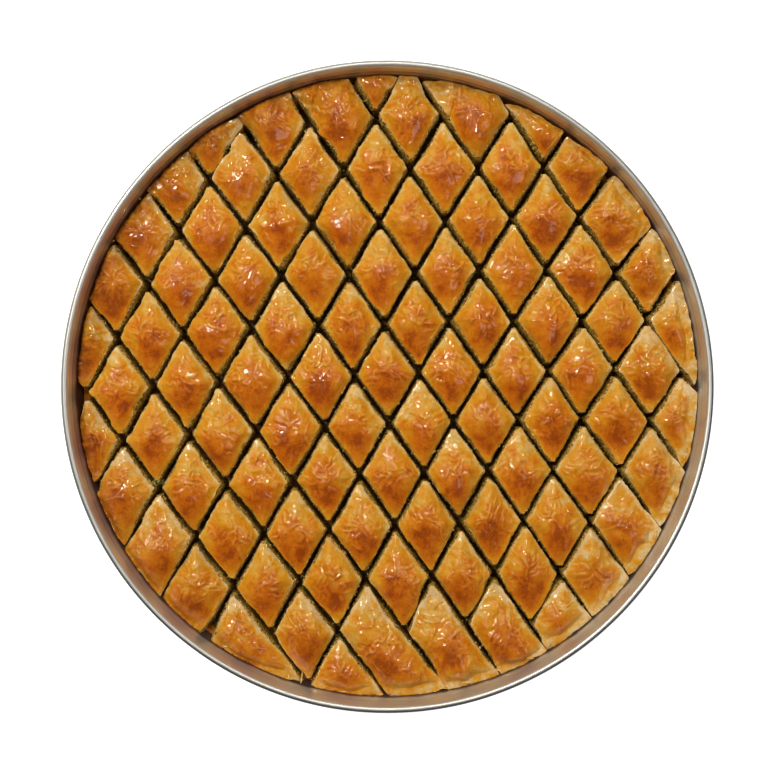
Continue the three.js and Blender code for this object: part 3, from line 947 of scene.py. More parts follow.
# %% How far each cut stays open
GAPES = [
    (68.8, 193, 12, 0.25), (84.3, 193, 8, 0.25), (88.3, 191, 8, 0.0), (108.2, 193, 5, 0.1),
    (119.3, 193, 8, 0.0), (130.2, 193, 5, 0.0), (140.7, 193, 6, 0.0), (163.8, 193, 14, 0.4),
    (179.1, 193, 14, 0.4), (184.1, 193, 5, 1.6), (198.0, 182, 9, 0.5), (199.2, 193, 5, 1.7),
    (211.0, 190, 14, 0.35), (222.5, 190, 12, 0.4), (234.0, 193, 10, 2.0), (249.5, 180, 11, 0.5),
    (255.5, 193, 6, 0.6), (268.5, 188, 13, 0.4), (280.4, 190, 12, 0.0), (291.5, 191, 10, 0.3),
    (301.3, 192, 8, 0.0), (306.5, 167, 11, 0.3), (311.8, 191, 8, 0.3), (322.0, 190, 10, 0.5),
    (333.0, 190, 12, 0.35), (344.8, 191, 9, 0.0), (358.8, 193, 9, 0.3), (9.0, 176, 15, 0.3),
    (31.3, 191, 12, 0.4), (127.0, 174, 8, 0.25), (121.5, 183, 8, 0.0), (105.0, 163.2, 2.6, 0.0),
    (302.5, 173, 5, 0.6), (325.0, 150, 52, 0.78), (12.0, 150, 40, 0.88),
    (107.7, 178, 6, 1.8), (118.5, 179, 7, 1.6), (103.3, 153, 5, 1.4), (277.8, 141, 9, 0.25),
    (293.5, 146, 9, 0.45),
]


def share_open(points):
    """The share of the knife's gap that is left at each point."""
    share = np.ones(len(points))
    for turn, distance, reach, left in GAPES:
        place = distance * np.array([math.cos(math.radians(turn)), math.sin(math.radians(turn))])
        away = np.linalg.norm(points[:, :2] - place, axis=1)
        share += (left - 1) * np.exp(-(away / reach) ** 4)
    return np.clip(share, 0, None)


# %% [markdown]
# ## Folds
#
# Here and there the top sheets lie in a fold, as a furrow with a raised lip beside it. The ends of each
# fold are pixels read off the picture, and after them stand its depth and its width in millimetres. One
# piece at the left is wrinkled all over.

# %% Folds
WRINKLED = [(10, 9)]
FOLDS = [
    ((96, 437), (97, 471), 1.8, 1.2),
    ((314, 113), (317, 100), 1.6, 1.0),
    ((322, 100), (333, 124), -1.2, 2.2),
    ((451, 121), (455, 103), 1.5, 1.1),
    ((293, 97), (312, 107), 1.2, 1.2),
]


def folded(points):
    """How far folds lower each point."""
    down = np.zeros(len(points))
    for start, end, depth, width in FOLDS:
        start = under_pixel(*start, EDGE_TOP)[:2]
        end = under_pixel(*end, EDGE_TOP)[:2]
        length = np.linalg.norm(end - start)
        along = (points[:, :2] - start) @ (end - start) / length
        aside = (points[:, :2] - start) @ np.array([-(end - start)[1], (end - start)[0]]) / length
        beyond = np.maximum(np.clip(-along, 0, None), np.clip(along - length, 0, None))
        inside = np.exp(-(beyond / (1.5 * width)) ** 2)
        aside = aside + 0.5 * wobble(points, 5.0, 71)
        down += depth * inside * (np.exp(-(aside / width) ** 2) - 0.5 * np.exp(-(aside / width - 2) ** 2))
    return down


# %% [markdown]
# ## What is known about a sheet
#
# The steps that shape a piece all ask the same questions about each of its points: how far it lies from
# the cuts and from the wall, how much the steam lifts it, and whether it is crust or cut side. The answers
# are worked out once, on the flat sheet, before anything moves. Each piece also has a seed of its own, and
# a spot a little below its middle that is browned the most. The spot lies below the middle partly as
# painted shade, because the lower slopes face away from the light.

# %% What is known about a sheet
RIM_HOLD = 9.0
DEEP_SPOT = 9.5
# The spot sits below the middle partly as painted shade of the lower slopes.
DEEP_SPOT_BELOW = 8.5
DEEP_SPOT_STRAY = 1.5
WALL_REACH = 4.0
MARGIN = 7.5


class Sheet:
    """The flat points of one piece, with what is known about each."""

    def __init__(self, points, inwards, starts, at_wall, wrinkled, draw):
        self.flat = points
        self.inwards = inwards
        self.at_wall = at_wall
        self.wrinkled = wrinkled
        self.seed = int(draw.integers(1 << 30))
        self.top = points[:, 2] > EDGE_TOP - 1e-6
        self.below_top = EDGE_TOP - points[:, 2]
        self.middle = points[self.top, :2].mean(axis=0)
        self.radius = np.linalg.norm(points[:, :2], axis=1)
        self.turn = np.arctan2(points[:, 1], points[:, 0])
        self.rise = rise_over(points, inwards, starts, at_wall)
        self.near_rim = np.exp(-np.clip(self.rise, 0, None) * RIM_HOLD)
        self.depths = np.clip(points[:, :2] @ inwards.T - starts, 0, None)
        self.wall_depth = np.clip(edge_radius - self.radius, 0, None)
        self.by_wall = np.exp(-self.wall_depth / WALL_REACH) * at_wall
        self.margin = np.exp(-(self.wall_depth / MARGIN) ** 2) * at_wall
        stray = [draw.normal(0, DEEP_SPOT_STRAY), draw.normal(-DEEP_SPOT_BELOW, DEEP_SPOT_STRAY)]
        from_spot = np.linalg.norm(points[:, :2] - self.middle - stray, axis=1)
        self.deep = np.exp(-(from_spot / DEEP_SPOT) ** 3)

    def noise(self, wavelength, number):
        """A wobble of this piece's own, one for each number."""
        return wobble(self.flat, wavelength, self.seed + number)

    def sideways_noise(self, wavelength, number):
        """Two such wobbles as a sideways move."""
        return np.stack([self.noise(wavelength, number), self.noise(wavelength, number + 1)], axis=1)


# %% [markdown]
# ## Raise the crust
#
# The crown differs a little from piece to piece in its height and its lean. Creases and blisters gather
# on the side of the light, where the picture shows the most of them, and a fine web of wrinkles runs
# between them. All of it fades towards the cut edge, and over the deepest brown, where the crust is
# smooth. The cut edge itself is curled up into a thin lip here and there.

# %% Raise the crust
CROWN_STRAY = 0.55
LEAN = 0.02
CREASE_REACH = 0.18
WRINKLED_REACH = 0.3
WRINKLED_CREASES = 3
TOWARD_LIGHT = np.array([-1.5, 2.5])
WHOLE_DIAMOND = 1300.0
LIP = 0.45
LIP_DEPTH = 1.0
LIP_WIDTH = 0.55


def crease_room(sheet):
    """How far creases reach from the middle of the crust, and how many there are."""
    width, length = np.ptp(sheet.flat[sheet.top, :2], axis=0)
    reach = (WRINKLED_REACH if sheet.wrinkled else CREASE_REACH) * math.sqrt(max(width * length, 100))
    share = min(sheet.top.sum() * SPACING ** 2 / WHOLE_DIAMOND, 2)
    return reach, max(4, round(CREASES * share)) * (WRINKLED_CREASES if sheet.wrinkled else 1)


def raised(sheet, draw):
    """The height of the crust, how pale its ridges are as flaking and painted highlight, and the ridges."""
    crown = CROWN_RISE + draw.normal(0, CROWN_STRAY)
    lean = draw.normal(0, LEAN, 2)
    lift = crown * sheet.rise * (1 + (sheet.flat[:, :2] - sheet.middle) @ lean)
    reach, count = crease_room(sheet)
    gathered = sheet.middle + TOWARD_LIGHT
    ridges = creased(sheet.flat, draw, gathered, reach, count)
    relief = ridges + blistered(sheet.flat, draw, gathered, reach, BLISTERS)
    warped = sheet.flat + 1.3 * sheet.noise(6.0, 1)[:, None]
    web = (1 - np.abs(wobble(warped, 5.4, sheet.seed + 2))) ** 4
    fine_web = (1 - np.abs(wobble(warped, 2.0, sheet.seed + 13))) ** 4
    relief += 0.75 * web + 0.2 * fine_web
    relief += 0.22 * sheet.noise(2.6, 3) + 0.6 * sheet.noise(5.0, 4)
    curl = np.clip(0.4 + sheet.noise(6.0, 16), 0, 1.3)
    lip = LIP * np.exp(-((sheet.depths.min(axis=1) - LIP_DEPTH) / LIP_WIDTH) ** 2) * curl
    fade = np.clip(sheet.rise * 1.6, 0, 1) * (1 - 0.8 * sheet.deep)
    height = EDGE_TOP + lift + fade * relief + lip + 0.5 * sheet.near_rim * sheet.noise(4.5, 5)
    # Painted highlight, partly real flaking: the raised ridges are painted pale cream.
    flaky_and_painted_highlight = 0.42 * np.clip(ridges / 0.8, 0, 1) + 0.16 * np.clip((fine_web - 0.6) / 0.4, 0, 1)
    flaky_and_painted_highlight *= fade * np.clip(0.7 + sheet.noise(4.0, 21), 0, 1.4)
    return np.maximum(height - folded(sheet.flat), EDGE_TOP - 1), np.where(sheet.top, flaky_and_painted_highlight, 0), ridges


# %% [markdown]
# ## Open the cuts
#
# The rim of the top is ragged, because brittle sheets break where the knife drags. Below it the sides
# widen a little towards the floor, since the gap that the knife leaves opens upwards, and thin sheets
# stick out of them. Where a cut has closed again, the rim moves back towards the middle of the cut.

# %% Open the cuts
GAP_AT_TOP = 4.3
GAP_AT_FLOOR = 1.6
RAGGED = 0.55
FINE_RAGGED = 0.22
SWAY = 1.15
SHOULDER = 0.7
SHOULDER_DEPTH = 2.2
PULL_REACH = 0.8
CLOSING_REACH = 2.6
FLAKY = 0.32


def opened(sheet):
    """Where each point goes sideways, which way is outwards, and how open the cut is there."""
    depth = sheet.below_top
    widening = SHOULDER * (1 - np.exp(-depth / SHOULDER_DEPTH))
    widening += ((GAP_AT_TOP - GAP_AT_FLOOR) / 2 - SHOULDER) * depth / (EDGE_TOP - FOOD_BOTTOM)
    sheets = FLAKY * sheet.noise((9, 9, 0.9), 6) * np.clip(depth / 1.5, 0, 1)
    pull = np.exp(-sheet.depths / PULL_REACH) @ -sheet.inwards
    if sheet.at_wall:
        from_axis = sheet.flat[:, :2] / sheet.radius[:, None]
        pull += np.exp(-sheet.wall_depth / PULL_REACH)[:, None] * from_axis
    outwards = pull / np.maximum(np.linalg.norm(pull, axis=1), 1e-6)[:, None]
    moved = sheet.flat[:, :2] + outwards * np.where(sheet.top, 0, widening + sheets)[:, None]

    share = share_open(sheet.flat)
    closing = (1 - share) * np.maximum(GAP_AT_TOP / 2 - widening, 0)
    moved += (np.exp(-sheet.depths / CLOSING_REACH) @ -sheet.inwards) * closing[:, None]
    calm = (0.35 + 0.65 * np.clip(share, 0, 1))[:, None]
    hold = np.where(sheet.top, sheet.near_rim, np.exp(-depth / 6))[:, None]
    ragged = RAGGED * sheet.sideways_noise(3.4, 7) + FINE_RAGGED * sheet.sideways_noise(1.4, 9)
    moved += calm * hold * ragged
    moved += calm * SWAY * sheet.sideways_noise(13.0, 14) * np.exp(-depth / 18)[:, None]
    return moved, outwards, share


# %% [markdown]
# ## Beside the wall
#
# The pieces that meet the tray are crumpled against it: their edge heaps up at the far side of the tray,
# lies flat at the near side, and follows the wall unevenly. Everything keeps clear of the metal, also in
# the round corner at the foot of the wall.

# %% Beside the wall
CLEAR_OF_WALL = 0.35
FOOT_RADIUS = 182.0
WALL_HEAP = 0.4
WALL_SLANT = 2.0
WALL_SLANT_AT = math.radians(80)


def room_at(height):
    """The largest radius that a piece may reach at a height."""
    corner_top = SHEET + CORNER_RADIUS
    low = np.clip((corner_top - height) / (corner_top - SHEET), 0, 1)
    return wall_radius(height) - CLEAR_OF_WALL - low ** 2 * (wall_radius(SHEET) - FOOT_RADIUS)


def edge_shift(points):
    """How far the baklava's edge lies from the even circle, which differs round the tray."""
    ring = points * [1, 1, 0]
    return 1.3 + 0.5 * wobble(ring, 17.0, 31) + 0.6 * wobble(ring, 4.0, 32)


def pressed_to_wall(sheet, moved, height):
    """Heaps the crust up beside the wall and brings its edge to the metal."""
    heap = WALL_HEAP + WALL_SLANT * np.cos(sheet.turn - WALL_SLANT_AT)
    heap += 0.9 * sheet.noise(6.0, 11) + 0.5 * sheet.noise(1.5, 19)
    height = height + sheet.by_wall * np.where(sheet.top, heap, 0)
    ring = np.linalg.norm(moved, axis=1)
    at_cut = np.exp(-sheet.depths.min(axis=1) / 2.5)
    target = ring + sheet.by_wall * (edge_shift(sheet.flat) - 0.9 * at_cut)
    room = room_at(np.where(sheet.top, height, sheet.flat[:, 2]))
    return moved * (np.minimum(target, room) / ring)[:, None], height


# %% [markdown]
# ## Brown the crust
#
# A crust browns most where it stands highest and a little below its middle, and stays pale beside the
# cuts and along the wall at the lower right. The darker lower half of each diamond and its paler far tip
# are painted shade and painted light, since the lower slopes face away from the light, and the spot below
# the middle lies low partly as the same painted shade. The furrows beside the creases are painted darker
# as shade. Across from the pale side, at the upper left, the edge along the wall is painted dark brown as
# the wall's shadow. How far the pale rim reaches in from each of the four cuts differs, and it frays.

# %% Brown the crust
PALE_SIDES = [1.3, 0.8, 1.0, 1.6]
# The direction round the tray of the wall's shadow that is painted on the pieces' edges.
WALL_SHADE_AT = math.radians(140)


def browned_and_shaded(sheet, ridges, draw):
    """How browned each point is, with painted light and shade in it, and how dark the wall's shadow is
    painted.
    """
    # Painted shade and light: the lower half of each diamond is painted darker and the far tip paler.
    painted_shade_and_light_up_down = np.clip((sheet.middle[1] - sheet.flat[:, 1]) / 16, -1.2, 1)
    frayed = 1 + 0.5 * sheet.noise(3.0, 22) + 0.5 * sheet.noise(9.0, 24)
    pale_width = np.clip(np.outer(frayed, PALE_SIDES), 0.3, None)
    from_cut = np.prod(1 - np.exp(-(sheet.depths / pale_width) ** 1.5), axis=1)
    toast_and_painted_shade = 0.26 * from_cut + 0.22 * np.clip(sheet.rise, 0, 1.1) ** 0.8 + 0.33 * sheet.deep
    # Painted shade: the furrows beside the creases are painted darker.
    toast_and_painted_shade += 0.7 * np.clip(-ridges, 0, 0.35) * (1 - 0.5 * sheet.deep)
    toast_and_painted_shade += 0.15 * painted_shade_and_light_up_down + 0.22 * sheet.noise(6.5, 12) * np.clip(2 * sheet.rise, 0, 1)
    toast_and_painted_shade += 0.10 * sheet.near_rim * sheet.noise(4.0, 17) + draw.normal(0, 0.03)
    pale = pale_share(sheet.flat)
    toast_and_painted_shade += sheet.by_wall ** 0.6 * (0.26 * (1 - pale) + 0.14 * sheet.noise(1.6, 18))
    toast_and_painted_shade *= 1 - 0.95 * pale * sheet.margin * np.clip(0.8 + 0.7 * sheet.noise(5.0, 23), 0, 1)
    # Painted shade: the edge along the wall at the upper left is painted dark brown, where the wall casts
    # its shadow.
    across = np.clip(0.5 + 0.5 * np.cos(sheet.turn - WALL_SHADE_AT), 0, 1) ** 1.5
    patchy = 0.7 + 0.4 * sheet.noise(3.0, 20) + 0.3 * sheet.noise(1.4, 25)
    return toast_and_painted_shade, sheet.by_wall ** 0.6 * across * patchy


# %% [markdown]
# ## From sheet to piece
#
# The steps come together here. While the points are at hand, places on the open cut sides are drawn for
# the crumbs that stick there, and the crust's points are kept for the specks that lie on it.

# %% From sheet to piece
CRUMBS_FROM = 8.0
CRUMBS_PER_PIECE = 110

side_crumbs = []
crust_points = []


def shed_crumbs(sheet, made, outwards, share, draw):
    """Draws places for crumbs on the cut sides, away from the wall and where the cut is open."""
    on_a_side = ~sheet.top & (sheet.flat[:, 2] > CRUMBS_FROM)
    spots = np.flatnonzero(on_a_side & (sheet.radius < edge_radius - 2) & (share > 0.5))
    for k in draw.choice(spots, min(CRUMBS_PER_PIECE, len(spots)), replace=False):
        size = draw.uniform(0.22, 0.6) * draw.choice([1, 1.5], p=[0.88, 0.12])
        side_crumbs.append((*(made[k, :2] + outwards[k] * 0.3 * size), made[k, 2], size))


def shaped(sheet, draw):
    """The points of the finished piece, and the marks that its materials read."""
    height, flaky_and_painted_highlight, ridges = raised(sheet, draw)
    moved, outwards, share = opened(sheet)
    if sheet.at_wall:
        moved, height = pressed_to_wall(sheet, moved, height)
    made = np.column_stack([moved, np.where(sheet.top, height, sheet.flat[:, 2])])
    crust_points.append(made[sheet.top])
    shed_crumbs(sheet, made, outwards, share, draw)
    toast_and_painted_shade, scorch_and_painted_shade = browned_and_shaded(sheet, ridges, draw)
    marks = {"toast_and_painted_shade": toast_and_painted_shade, "scorch_and_painted_shade": scorch_and_painted_shade, "flaky_and_painted_highlight": flaky_and_painted_highlight}
    return made, {mark: np.clip(values, 0, 1) for mark, values in marks.items()}


def baklava_piece(name, strips_i, strips_j, materials, at_wall):
    """One piece of baklava."""
    outline, inwards, starts = inset(corners(strips_i, strips_j), GAP_AT_TOP / 2)
    shape = top_sheet(outline)
    blunt_tips(shape, outline)
    if at_wall:
        cut_to_wall(shape)
    bmesh.ops.remove_doubles(shape, verts=shape.verts, dist=SPACING * 0.2)
    draw_down_sides(shape)
    mesh = mesh_from(shape, name)
    draw = np.random.default_rng(1000 + 100 * strips_i[0] + strips_j[0])
    wrinkled = (strips_i[0], strips_j[0]) in WRINKLED
    sheet = Sheet(points_of(mesh), inwards, starts, at_wall, wrinkled, draw)
    points, marks = shaped(sheet, draw)
    return finished(mesh, points, materials, marks)


# %% [markdown]
# ## All the pieces
#
# Every cell now gets its piece. A diamond away from the wall stands for a solid of its own. The pieces
# at the wall together stand for one solid, which the crumpled edge of the sheets holds together. They are
# a little paler where they are least browned, because the loose ends of the sheets show there.

# %% Pieces away from the wall
for strips_i, strips_j in inner_cells:
    key = f"{strips_i[0]}_{strips_j[0]}"
    piece = baklava_piece(f"baklava_{key}", strips_i, strips_j, [crust, layers], False)
    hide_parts(f"piece_{key}")
print("faces of one piece", len(piece.data.polygons))

# %% Pieces at the wall
EDGE_STOPS = [
    (0.00, "#EFD09C"),
    (0.10, "#E9C07A"),
    (0.20, "#E7B048"),
    (0.34, "#E69D1C"),
    (0.58, "#DD810C"),
    (0.80, "#CB6A00"),
    (1.00, "#A64C00"),
]
edge_crust = baked_filo("edge_filo_glazed_with_syrup", EDGE_STOPS, 0.08)
for strips_i, strips_j in edge_cells:
    key = f"{strips_i[0]}_{strips_j[0]}"
    piece = baklava_piece(
        f"edge_baklava_{key}", strips_i, strips_j, [edge_crust, layers], True
    )
    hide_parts("edge_pieces")

# %% [markdown]
# ## The crumpled edge
#
# The sheets were a little larger than the tray, and what ran up the wall was pressed down with a thumb.
# It stayed as a crumpled rind between the pieces and the metal. At the upper left it stands as high as the
# pieces and is browned like the bottom of a pan, and elsewhere it lies in the shadow below them. A ring
# is spun from a small profile and its top is pushed up and down.

# %% The crumpled edge
RIND_STEPS = 720
RIND_SIDE_TOP = 15.5
RIND_RISE = 7.5
RIND_RISE_AT = math.radians(127)
RIND_RISE_WIDTH = math.radians(21)
RIND_OUT = 0.35
RIND_WIDTH = 3.4

rind_profile = [
    (wall_radius(z) - RIND_OUT - share * RIND_WIDTH, z)
    for share, z in [(1, 6), (1, 10), (1, 13), (1, 15), (0.85, 16.6), (0.6, 17.4), (0.35, 18),
                     (0.12, 18), (0, 16), (0, 13), (0, 10), (0, 6), (1, 6)]
]
mesh = mesh_from(spun(rind_profile, RIND_STEPS), "crumpled_edge")
for face in mesh.polygons:
    face.material_index = SIDE_FACES if face.center.z < RIND_SIDE_TOP else TOP_FACES
points = points_of(mesh)
turn = np.arctan2(points[:, 1], points[:, 0])
beside = (turn - RIND_RISE_AT + math.pi) % (2 * math.pi) - math.pi
upper = np.clip((points[:, 2] - 8) / 8, 0, 1)
crumple = 1.2 * wobble(points, (9, 9, 60), 41) + 1.0 * wobble(points, (3.2, 3.2, 60), 42)
crumple += 0.6 * wobble(points, 1.3, 43) - 1.0
points[:, 2] += upper * (RIND_RISE * np.exp(-(beside / RIND_RISE_WIDTH) ** 4) + crumple)
ring = np.linalg.norm(points[:, :2], axis=1)
pleat = 0.7 * wobble(points, (2.4, 2.4, 7), 44) * (ring < wall_radius(points[:, 2]) - 1)
points[:, :2] *= (np.minimum(ring + pleat, room_at(points[:, 2])) / ring)[:, None]
toast_and_painted_shade = 0.55 + 0.3 * wobble(points, 6.0, 45) + 0.3 * wobble(points, 1.8, 46)
scorch_and_painted_shade = 0.55 + 0.3 * wobble(points, 2.6, 47)
rind = finished(mesh, points, [edge_crust, layers], {
    "toast_and_painted_shade": np.clip(toast_and_painted_shade, 0, 1), "scorch_and_painted_shade": np.clip(scorch_and_painted_shade, 0, 1),
})
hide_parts("edge_pieces")

# %% [markdown]
# ## Torn flakes
#
# Where the sheets were pressed against the wall, narrow shreds tore loose, dried in the oven and curled
# up. Most lie along the near side of the tray. A shred is a strip a tenth of a millimetre thick, bent
# along its length and rolled a little across it. It starts as a grid, is bent, and is given its
# thickness with the solidify operator. Each is listed by its direction round the tray in degrees, its
# distance from the middle, its length and width in millimetres, and its heading from the radius.

# %% Torn flakes
SHRED_STEPS = 12
SHRED_THICKNESS = 0.12
SHREDS = [
    (253.6, 188.5, 7.5, 0.8, 5), (297.3, 189.8, 8.0, 1.4, 55), (284.6, 190.0, 7.0, 1.3, 75),
    (291.3, 189.0, 4.6, 1.1, 40), (280.3, 190.5, 6.0, 1.0, 70), (302.0, 189.0, 5.0, 1.0, 110),
    (316.5, 190.0, 6.5, 1.1, 95), (331.0, 190.5, 6.0, 1.1, 100), (347.5, 190.0, 6.6, 1.2, 80),
    (73.8, 193.0, 3.4, 0.9, 100), (110.0, 192.5, 6.5, 1.3, 95), (152.0, 193.0, 2.6, 0.8, 40),
    (262.0, 191.5, 4.2, 0.7, 85), (238.0, 190.5, 3.6, 0.8, 110),
]


def shred(draw, turn, distance, length, width, heading):
    """One curled strip. The heading is its own direction, in degrees from the tray's radius."""
    shape = bmesh.new()
    bmesh.ops.create_grid(shape, x_segments=SHRED_STEPS, y_segments=3, size=1)
    bend = draw.uniform(0.5, 1.3)
    for vert in shape.verts:
        t, across = vert.co.x, vert.co.y
        taper = 1 - 0.6 * abs(t) ** 3
        vert.co = (
            0.5 * length * t,
            0.5 * width * across * taper + 0.25 * width * math.sin(2.5 * t),
            bend * t * t + 0.25 * width * across * across,
        )
    bmesh.ops.solidify(shape, geom=shape.faces[:], thickness=SHRED_THICKNESS)
    turned = Euler((0, 0, math.radians(turn + heading))).to_matrix()
    bmesh.ops.rotate(shape, verts=shape.verts, matrix=turned)
    place = distance * np.array([math.cos(math.radians(turn)), math.sin(math.radians(turn))])
    bmesh.ops.translate(shape, verts=shape.verts, vec=(*place, EDGE_TOP + draw.uniform(0.6, 1.4)))
    bmesh.ops.recalc_face_normals(shape, faces=shape.faces)
    return shape


draw = np.random.default_rng(81)
for k, values in enumerate(SHREDS):
    mesh = mesh_from(shred(draw, *values), f"torn_flake_{k + 1}")
    points = points_of(mesh)
    ring = np.linalg.norm(points[:, :2], axis=1)
    points[:, :2] *= (np.minimum(ring, room_at(points[:, 2])) / ring)[:, None]
    toast_and_painted_shade = np.clip(0.12 + 0.2 * wobble(points, 1.5, 82), 0, 1)
    finished(mesh, points, [edge_crust], {"toast_and_painted_shade": toast_and_painted_shade})

# %% [markdown]
# ## Syrup on the floor
#
# Syrup that the pastry couldn't take lies on the tray's floor, under a millimetre deep, and shows as a
# dark wet line at the bottom of the cuts. It is a shallow turned disc. In so thin a layer clear sugar
# syrup looks amber, and darker where the crumbs have coloured it.

# %% Syrup on the floor
SYRUP_LEVEL = 2.1
SYRUP_RADIUS = 183.0

syrup, tree = blank("sugar_syrup")
place = node(tree, "ShaderNodeTexCoord").outputs["Object"]
cloudy = node(tree, "ShaderNodeTexNoise", {"Vector": place, "Scale": 1 / (8 * MM), "Detail": 3.0})
amber = node(tree, "ShaderNodeValToRGB", {"Fac": cloudy.outputs["Fac"]}, stops=[
    (0.3, "#6E3C0C"), (0.7, "#A06C26"),
])
surfaced(tree, node(tree, "ShaderNodeBsdfPrincipled", {
    "Base Color": amber.outputs["Color"],
    "Roughness": 0.38,
    "IOR": 1.48,
}))
syrup_profile = [(0, 1.25), (SYRUP_RADIUS, 1.25), (SYRUP_RADIUS + 1.2, 1.7), (SYRUP_RADIUS + 1.4, 2.0)]
syrup_profile += [(r, SYRUP_LEVEL) for r in np.linspace(SYRUP_RADIUS, 0, 40)]
mesh = mesh_from(spun(syrup_profile, 180), "syrup_on_the_floor")
points = points_of(mesh)
points[:, 2] += np.where(points[:, 2] > 2.05, 0.16 * wobble(points, 9.0, 51), 0)
finished(mesh, points, [syrup])

# %% [markdown]
# ## Crumbs
#
# Ground pistachio falls out of the cut layers, and so do bits of the brittle sheets. Crumbs half a
# millimetre to nearly two across stick to the wet sides and gather on the floor, thickest where two cuts
# cross. At two crossings on the left they are wedged between the pieces and can be seen from above; these
# heaps are listed by their pixel and the heights between which the crumbs sit. One small faceted ball is
# repeated thousands of times, so it has only twenty faces. It is doubled again and again, and then each
# copy is squashed, turned, moved and coloured by its own draw. A crumb on a side is set into it, so that
# none hangs in the air.

# %% Crumbs
FLOOR_CRUMBS_PER_STROKE = 90
CRUMBS_PER_CROSSING = 9
STROKE_REACH = 182.0
PASTRY_SHARE = 0.45
HEAPS = [(157.5, 481, 20.0, 24.5), (141.5, 455.5, 19.0, 23.0)]
CRUMBS_PER_HEAP = 40


def crumb_material(name, stops):
    """A moist crumb, whose colour is its own shade."""
    material, tree = blank(name)
    shade = node(tree, "ShaderNodeAttribute", attribute_name="shade")
    colour = node(tree, "ShaderNodeValToRGB", {"Fac": shade.outputs["Fac"]}, stops=stops)
    place = node(tree, "ShaderNodeTexCoord").outputs["Object"]
    grain = node(tree, "ShaderNodeTexNoise", {"Vector": place, "Scale": 1 / (0.5 * MM), "Detail": 2.0})
    relief = node(tree, "ShaderNodeBump", {
        "Height": grain.outputs["Fac"], "Strength": 0.6, "Distance": 0.1 * MM,
    })
    surfaced(tree, node(tree, "ShaderNodeBsdfPrincipled", {
        "Base Color": colour.outputs["Color"],
        "Roughness": 0.45,
        "IOR": 1.46,
        "Coat Weight": 0.4,
        "Coat Roughness": 0.15,
        "Normal": relief.outputs[0],
    }))
    return material


pistachio = crumb_material("ground_pistachio_with_syrup", [
    (0.0, "#3A3510"), (0.3, "#66651F"), (0.6, "#8D8D36"), (0.85, "#B5AE5A"), (1.0, "#D3C27E"),
])
pastry = crumb_material("crumbs_of_baked_filo", [
    (0.0, "#6E4616"), (0.3, "#A5732C"), (0.6, "#C99A4E"), (0.85, "#DDBB78"), (1.0, "#EBD6A4"),
])


def floor_crumbs(draw):
    """Places and sizes of the crumbs along every stroke, round every crossing and in a few heaps."""
    made = []
    for offset, bow, along, across in down_right[1:-1] + down_left[1:-1]:
        for t in draw.uniform(-STROKE_REACH, STROKE_REACH, FLOOR_CRUMBS_PER_STROKE):
            size = draw.uniform(0.3, 0.7)
            aside = offset + bow * (t / BOW_REACH) ** 2 + draw.uniform(-0.5, 0.5)
            made.append((*(along * t + across * aside), SYRUP_LEVEL + 0.5 * size, size))
    for one in down_right[1:-1]:
        for other in down_left[1:-1]:
            for _ in range(CRUMBS_PER_CROSSING):
                size = draw.uniform(0.4, 1.0)
                spot = crossing(one, other) + draw.normal(0, 1.4, 2)
                made.append((*spot, SYRUP_LEVEL + draw.uniform(0.4, 2.2) * size, size))
    for x, y, low, high in HEAPS:
        for height in draw.uniform(low, high, CRUMBS_PER_HEAP):
            spot = under_pixel(x, y, high)[:2] + draw.normal(0, 1.2, 2)
            made.append((*spot, height, draw.uniform(0.5, 1.1)))
    return [crumb for crumb in made if math.hypot(*crumb[:2]) < STROKE_REACH]


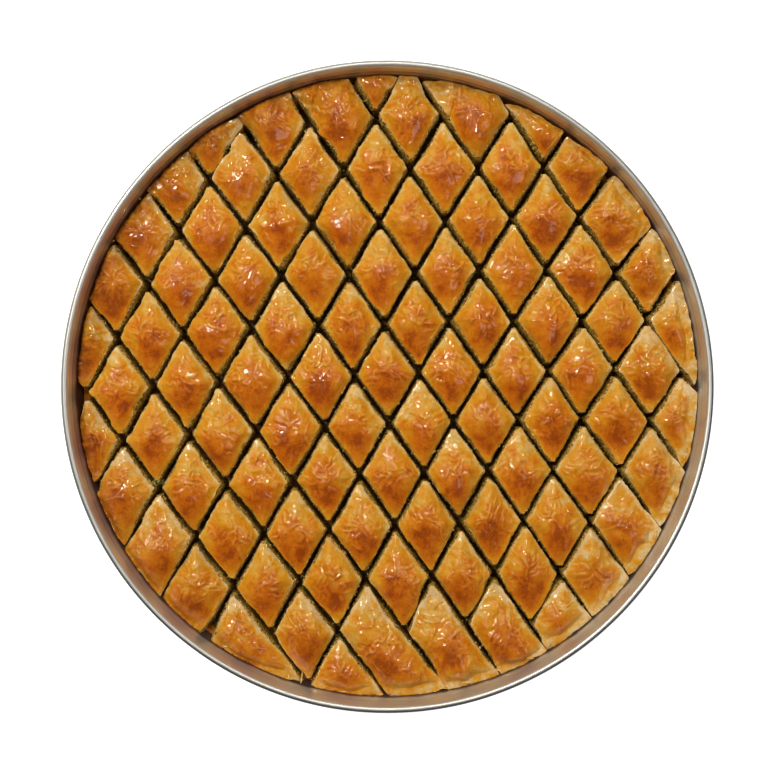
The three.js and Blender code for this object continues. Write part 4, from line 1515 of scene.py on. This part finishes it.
def scattered(name, places, draw, material):
    """One mesh of many squashed balls of twenty faces, each with a shade of its own."""
    shape = bmesh.new()
    bmesh.ops.create_icosphere(shape, subdivisions=1, radius=1)
    corners_of_ball = len(shape.verts)
    while len(shape.verts) < len(places) * corners_of_ball:
        bmesh.ops.duplicate(shape, geom=[*shape.verts, *shape.edges, *shape.faces])
    bmesh.ops.delete(shape, geom=shape.verts[len(places) * corners_of_ball:], context="VERTS")
    mesh = mesh_from(shape, name)
    balls = points_of(mesh).reshape(len(places), corners_of_ball, 3)
    for ball, (x, y, z, size) in zip(balls, places):
        turned = np.array(Euler(draw.uniform(0, 2 * math.pi, 3)).to_matrix())
        squashed = ball * draw.uniform(0.75, 1.25, 3) * size
        ball[:] = squashed @ turned + (x, y, z)
    shades = np.repeat(draw.beta(1.6, 1.6, len(places)), corners_of_ball)
    return finished(mesh, balls.reshape(-1, 3), [material], {"shade": shades})


draw = np.random.default_rng(61)
lot = draw.random(len(side_crumbs)) < PASTRY_SHARE
places = floor_crumbs(draw) + [crumb for crumb, is_pastry in zip(side_crumbs, lot) if not is_pastry]
scattered("pistachio_crumbs", places, draw, pistachio)
flecks = [crumb for crumb, is_pastry in zip(side_crumbs, lot) if is_pastry]
scattered("pastry_crumbs", flecks, draw, pastry)
print("crumbs of pistachio", len(places), "and of pastry", len(flecks))

# %% [markdown]
# ## Burnt specks
#
# A few bits of pastry burnt black in the oven. Some lie on a crust, and some stuck to the wall just above
# the baklava. One on a crust is listed by its pixel and its size, and takes the height of the crust below
# it. One on the wall is listed by its direction in degrees, its height and its size. A crumb of pistachio
# that stuck to the wall is placed the same way.

# %% Burnt specks
ON_THE_CRUST = [(581, 246, 0.45), (643, 196, 0.5), (585.5, 588.5, 0.4)]
ON_THE_WALL = [(267.3, 25.5, 0.9), (217.2, 26.0, 0.7), (218.4, 25.6, 0.5)]
GREEN_ON_THE_WALL = [(142.8, 27.0, 0.8)]


def on_the_crust(x, y, size):
    """A speck that lies on the crust where a pixel shows it."""
    crust_top = np.concatenate(crust_points)
    spot = under_pixel(x, y, EDGE_TOP + CROWN_RISE / 2)
    nearest = np.linalg.norm(crust_top[:, :2] - spot[:2], axis=1).argmin()
    return (*spot[:2], crust_top[nearest, 2] + 0.2 * size, size)


def on_the_wall(turn, height, size):
    """A speck that sticks to the wall, from its direction in degrees."""
    distance = wall_radius(height) - DENT_DEPTH - 0.4 * size
    return (distance * math.cos(math.radians(turn)), distance * math.sin(math.radians(turn)), height, size)


burnt_crumb = crumb_material("pastry_burnt_black", [(0.0, "#1E1006"), (1.0, "#4A2A10")])
places = [on_the_crust(*spot) for spot in ON_THE_CRUST] + [on_the_wall(*spot) for spot in ON_THE_WALL]
scattered("burnt_crumbs", places, draw, burnt_crumb)
green = [on_the_wall(*spot) for spot in GREEN_ON_THE_WALL]
scattered("pistachio_on_the_wall", green, draw, pistachio)
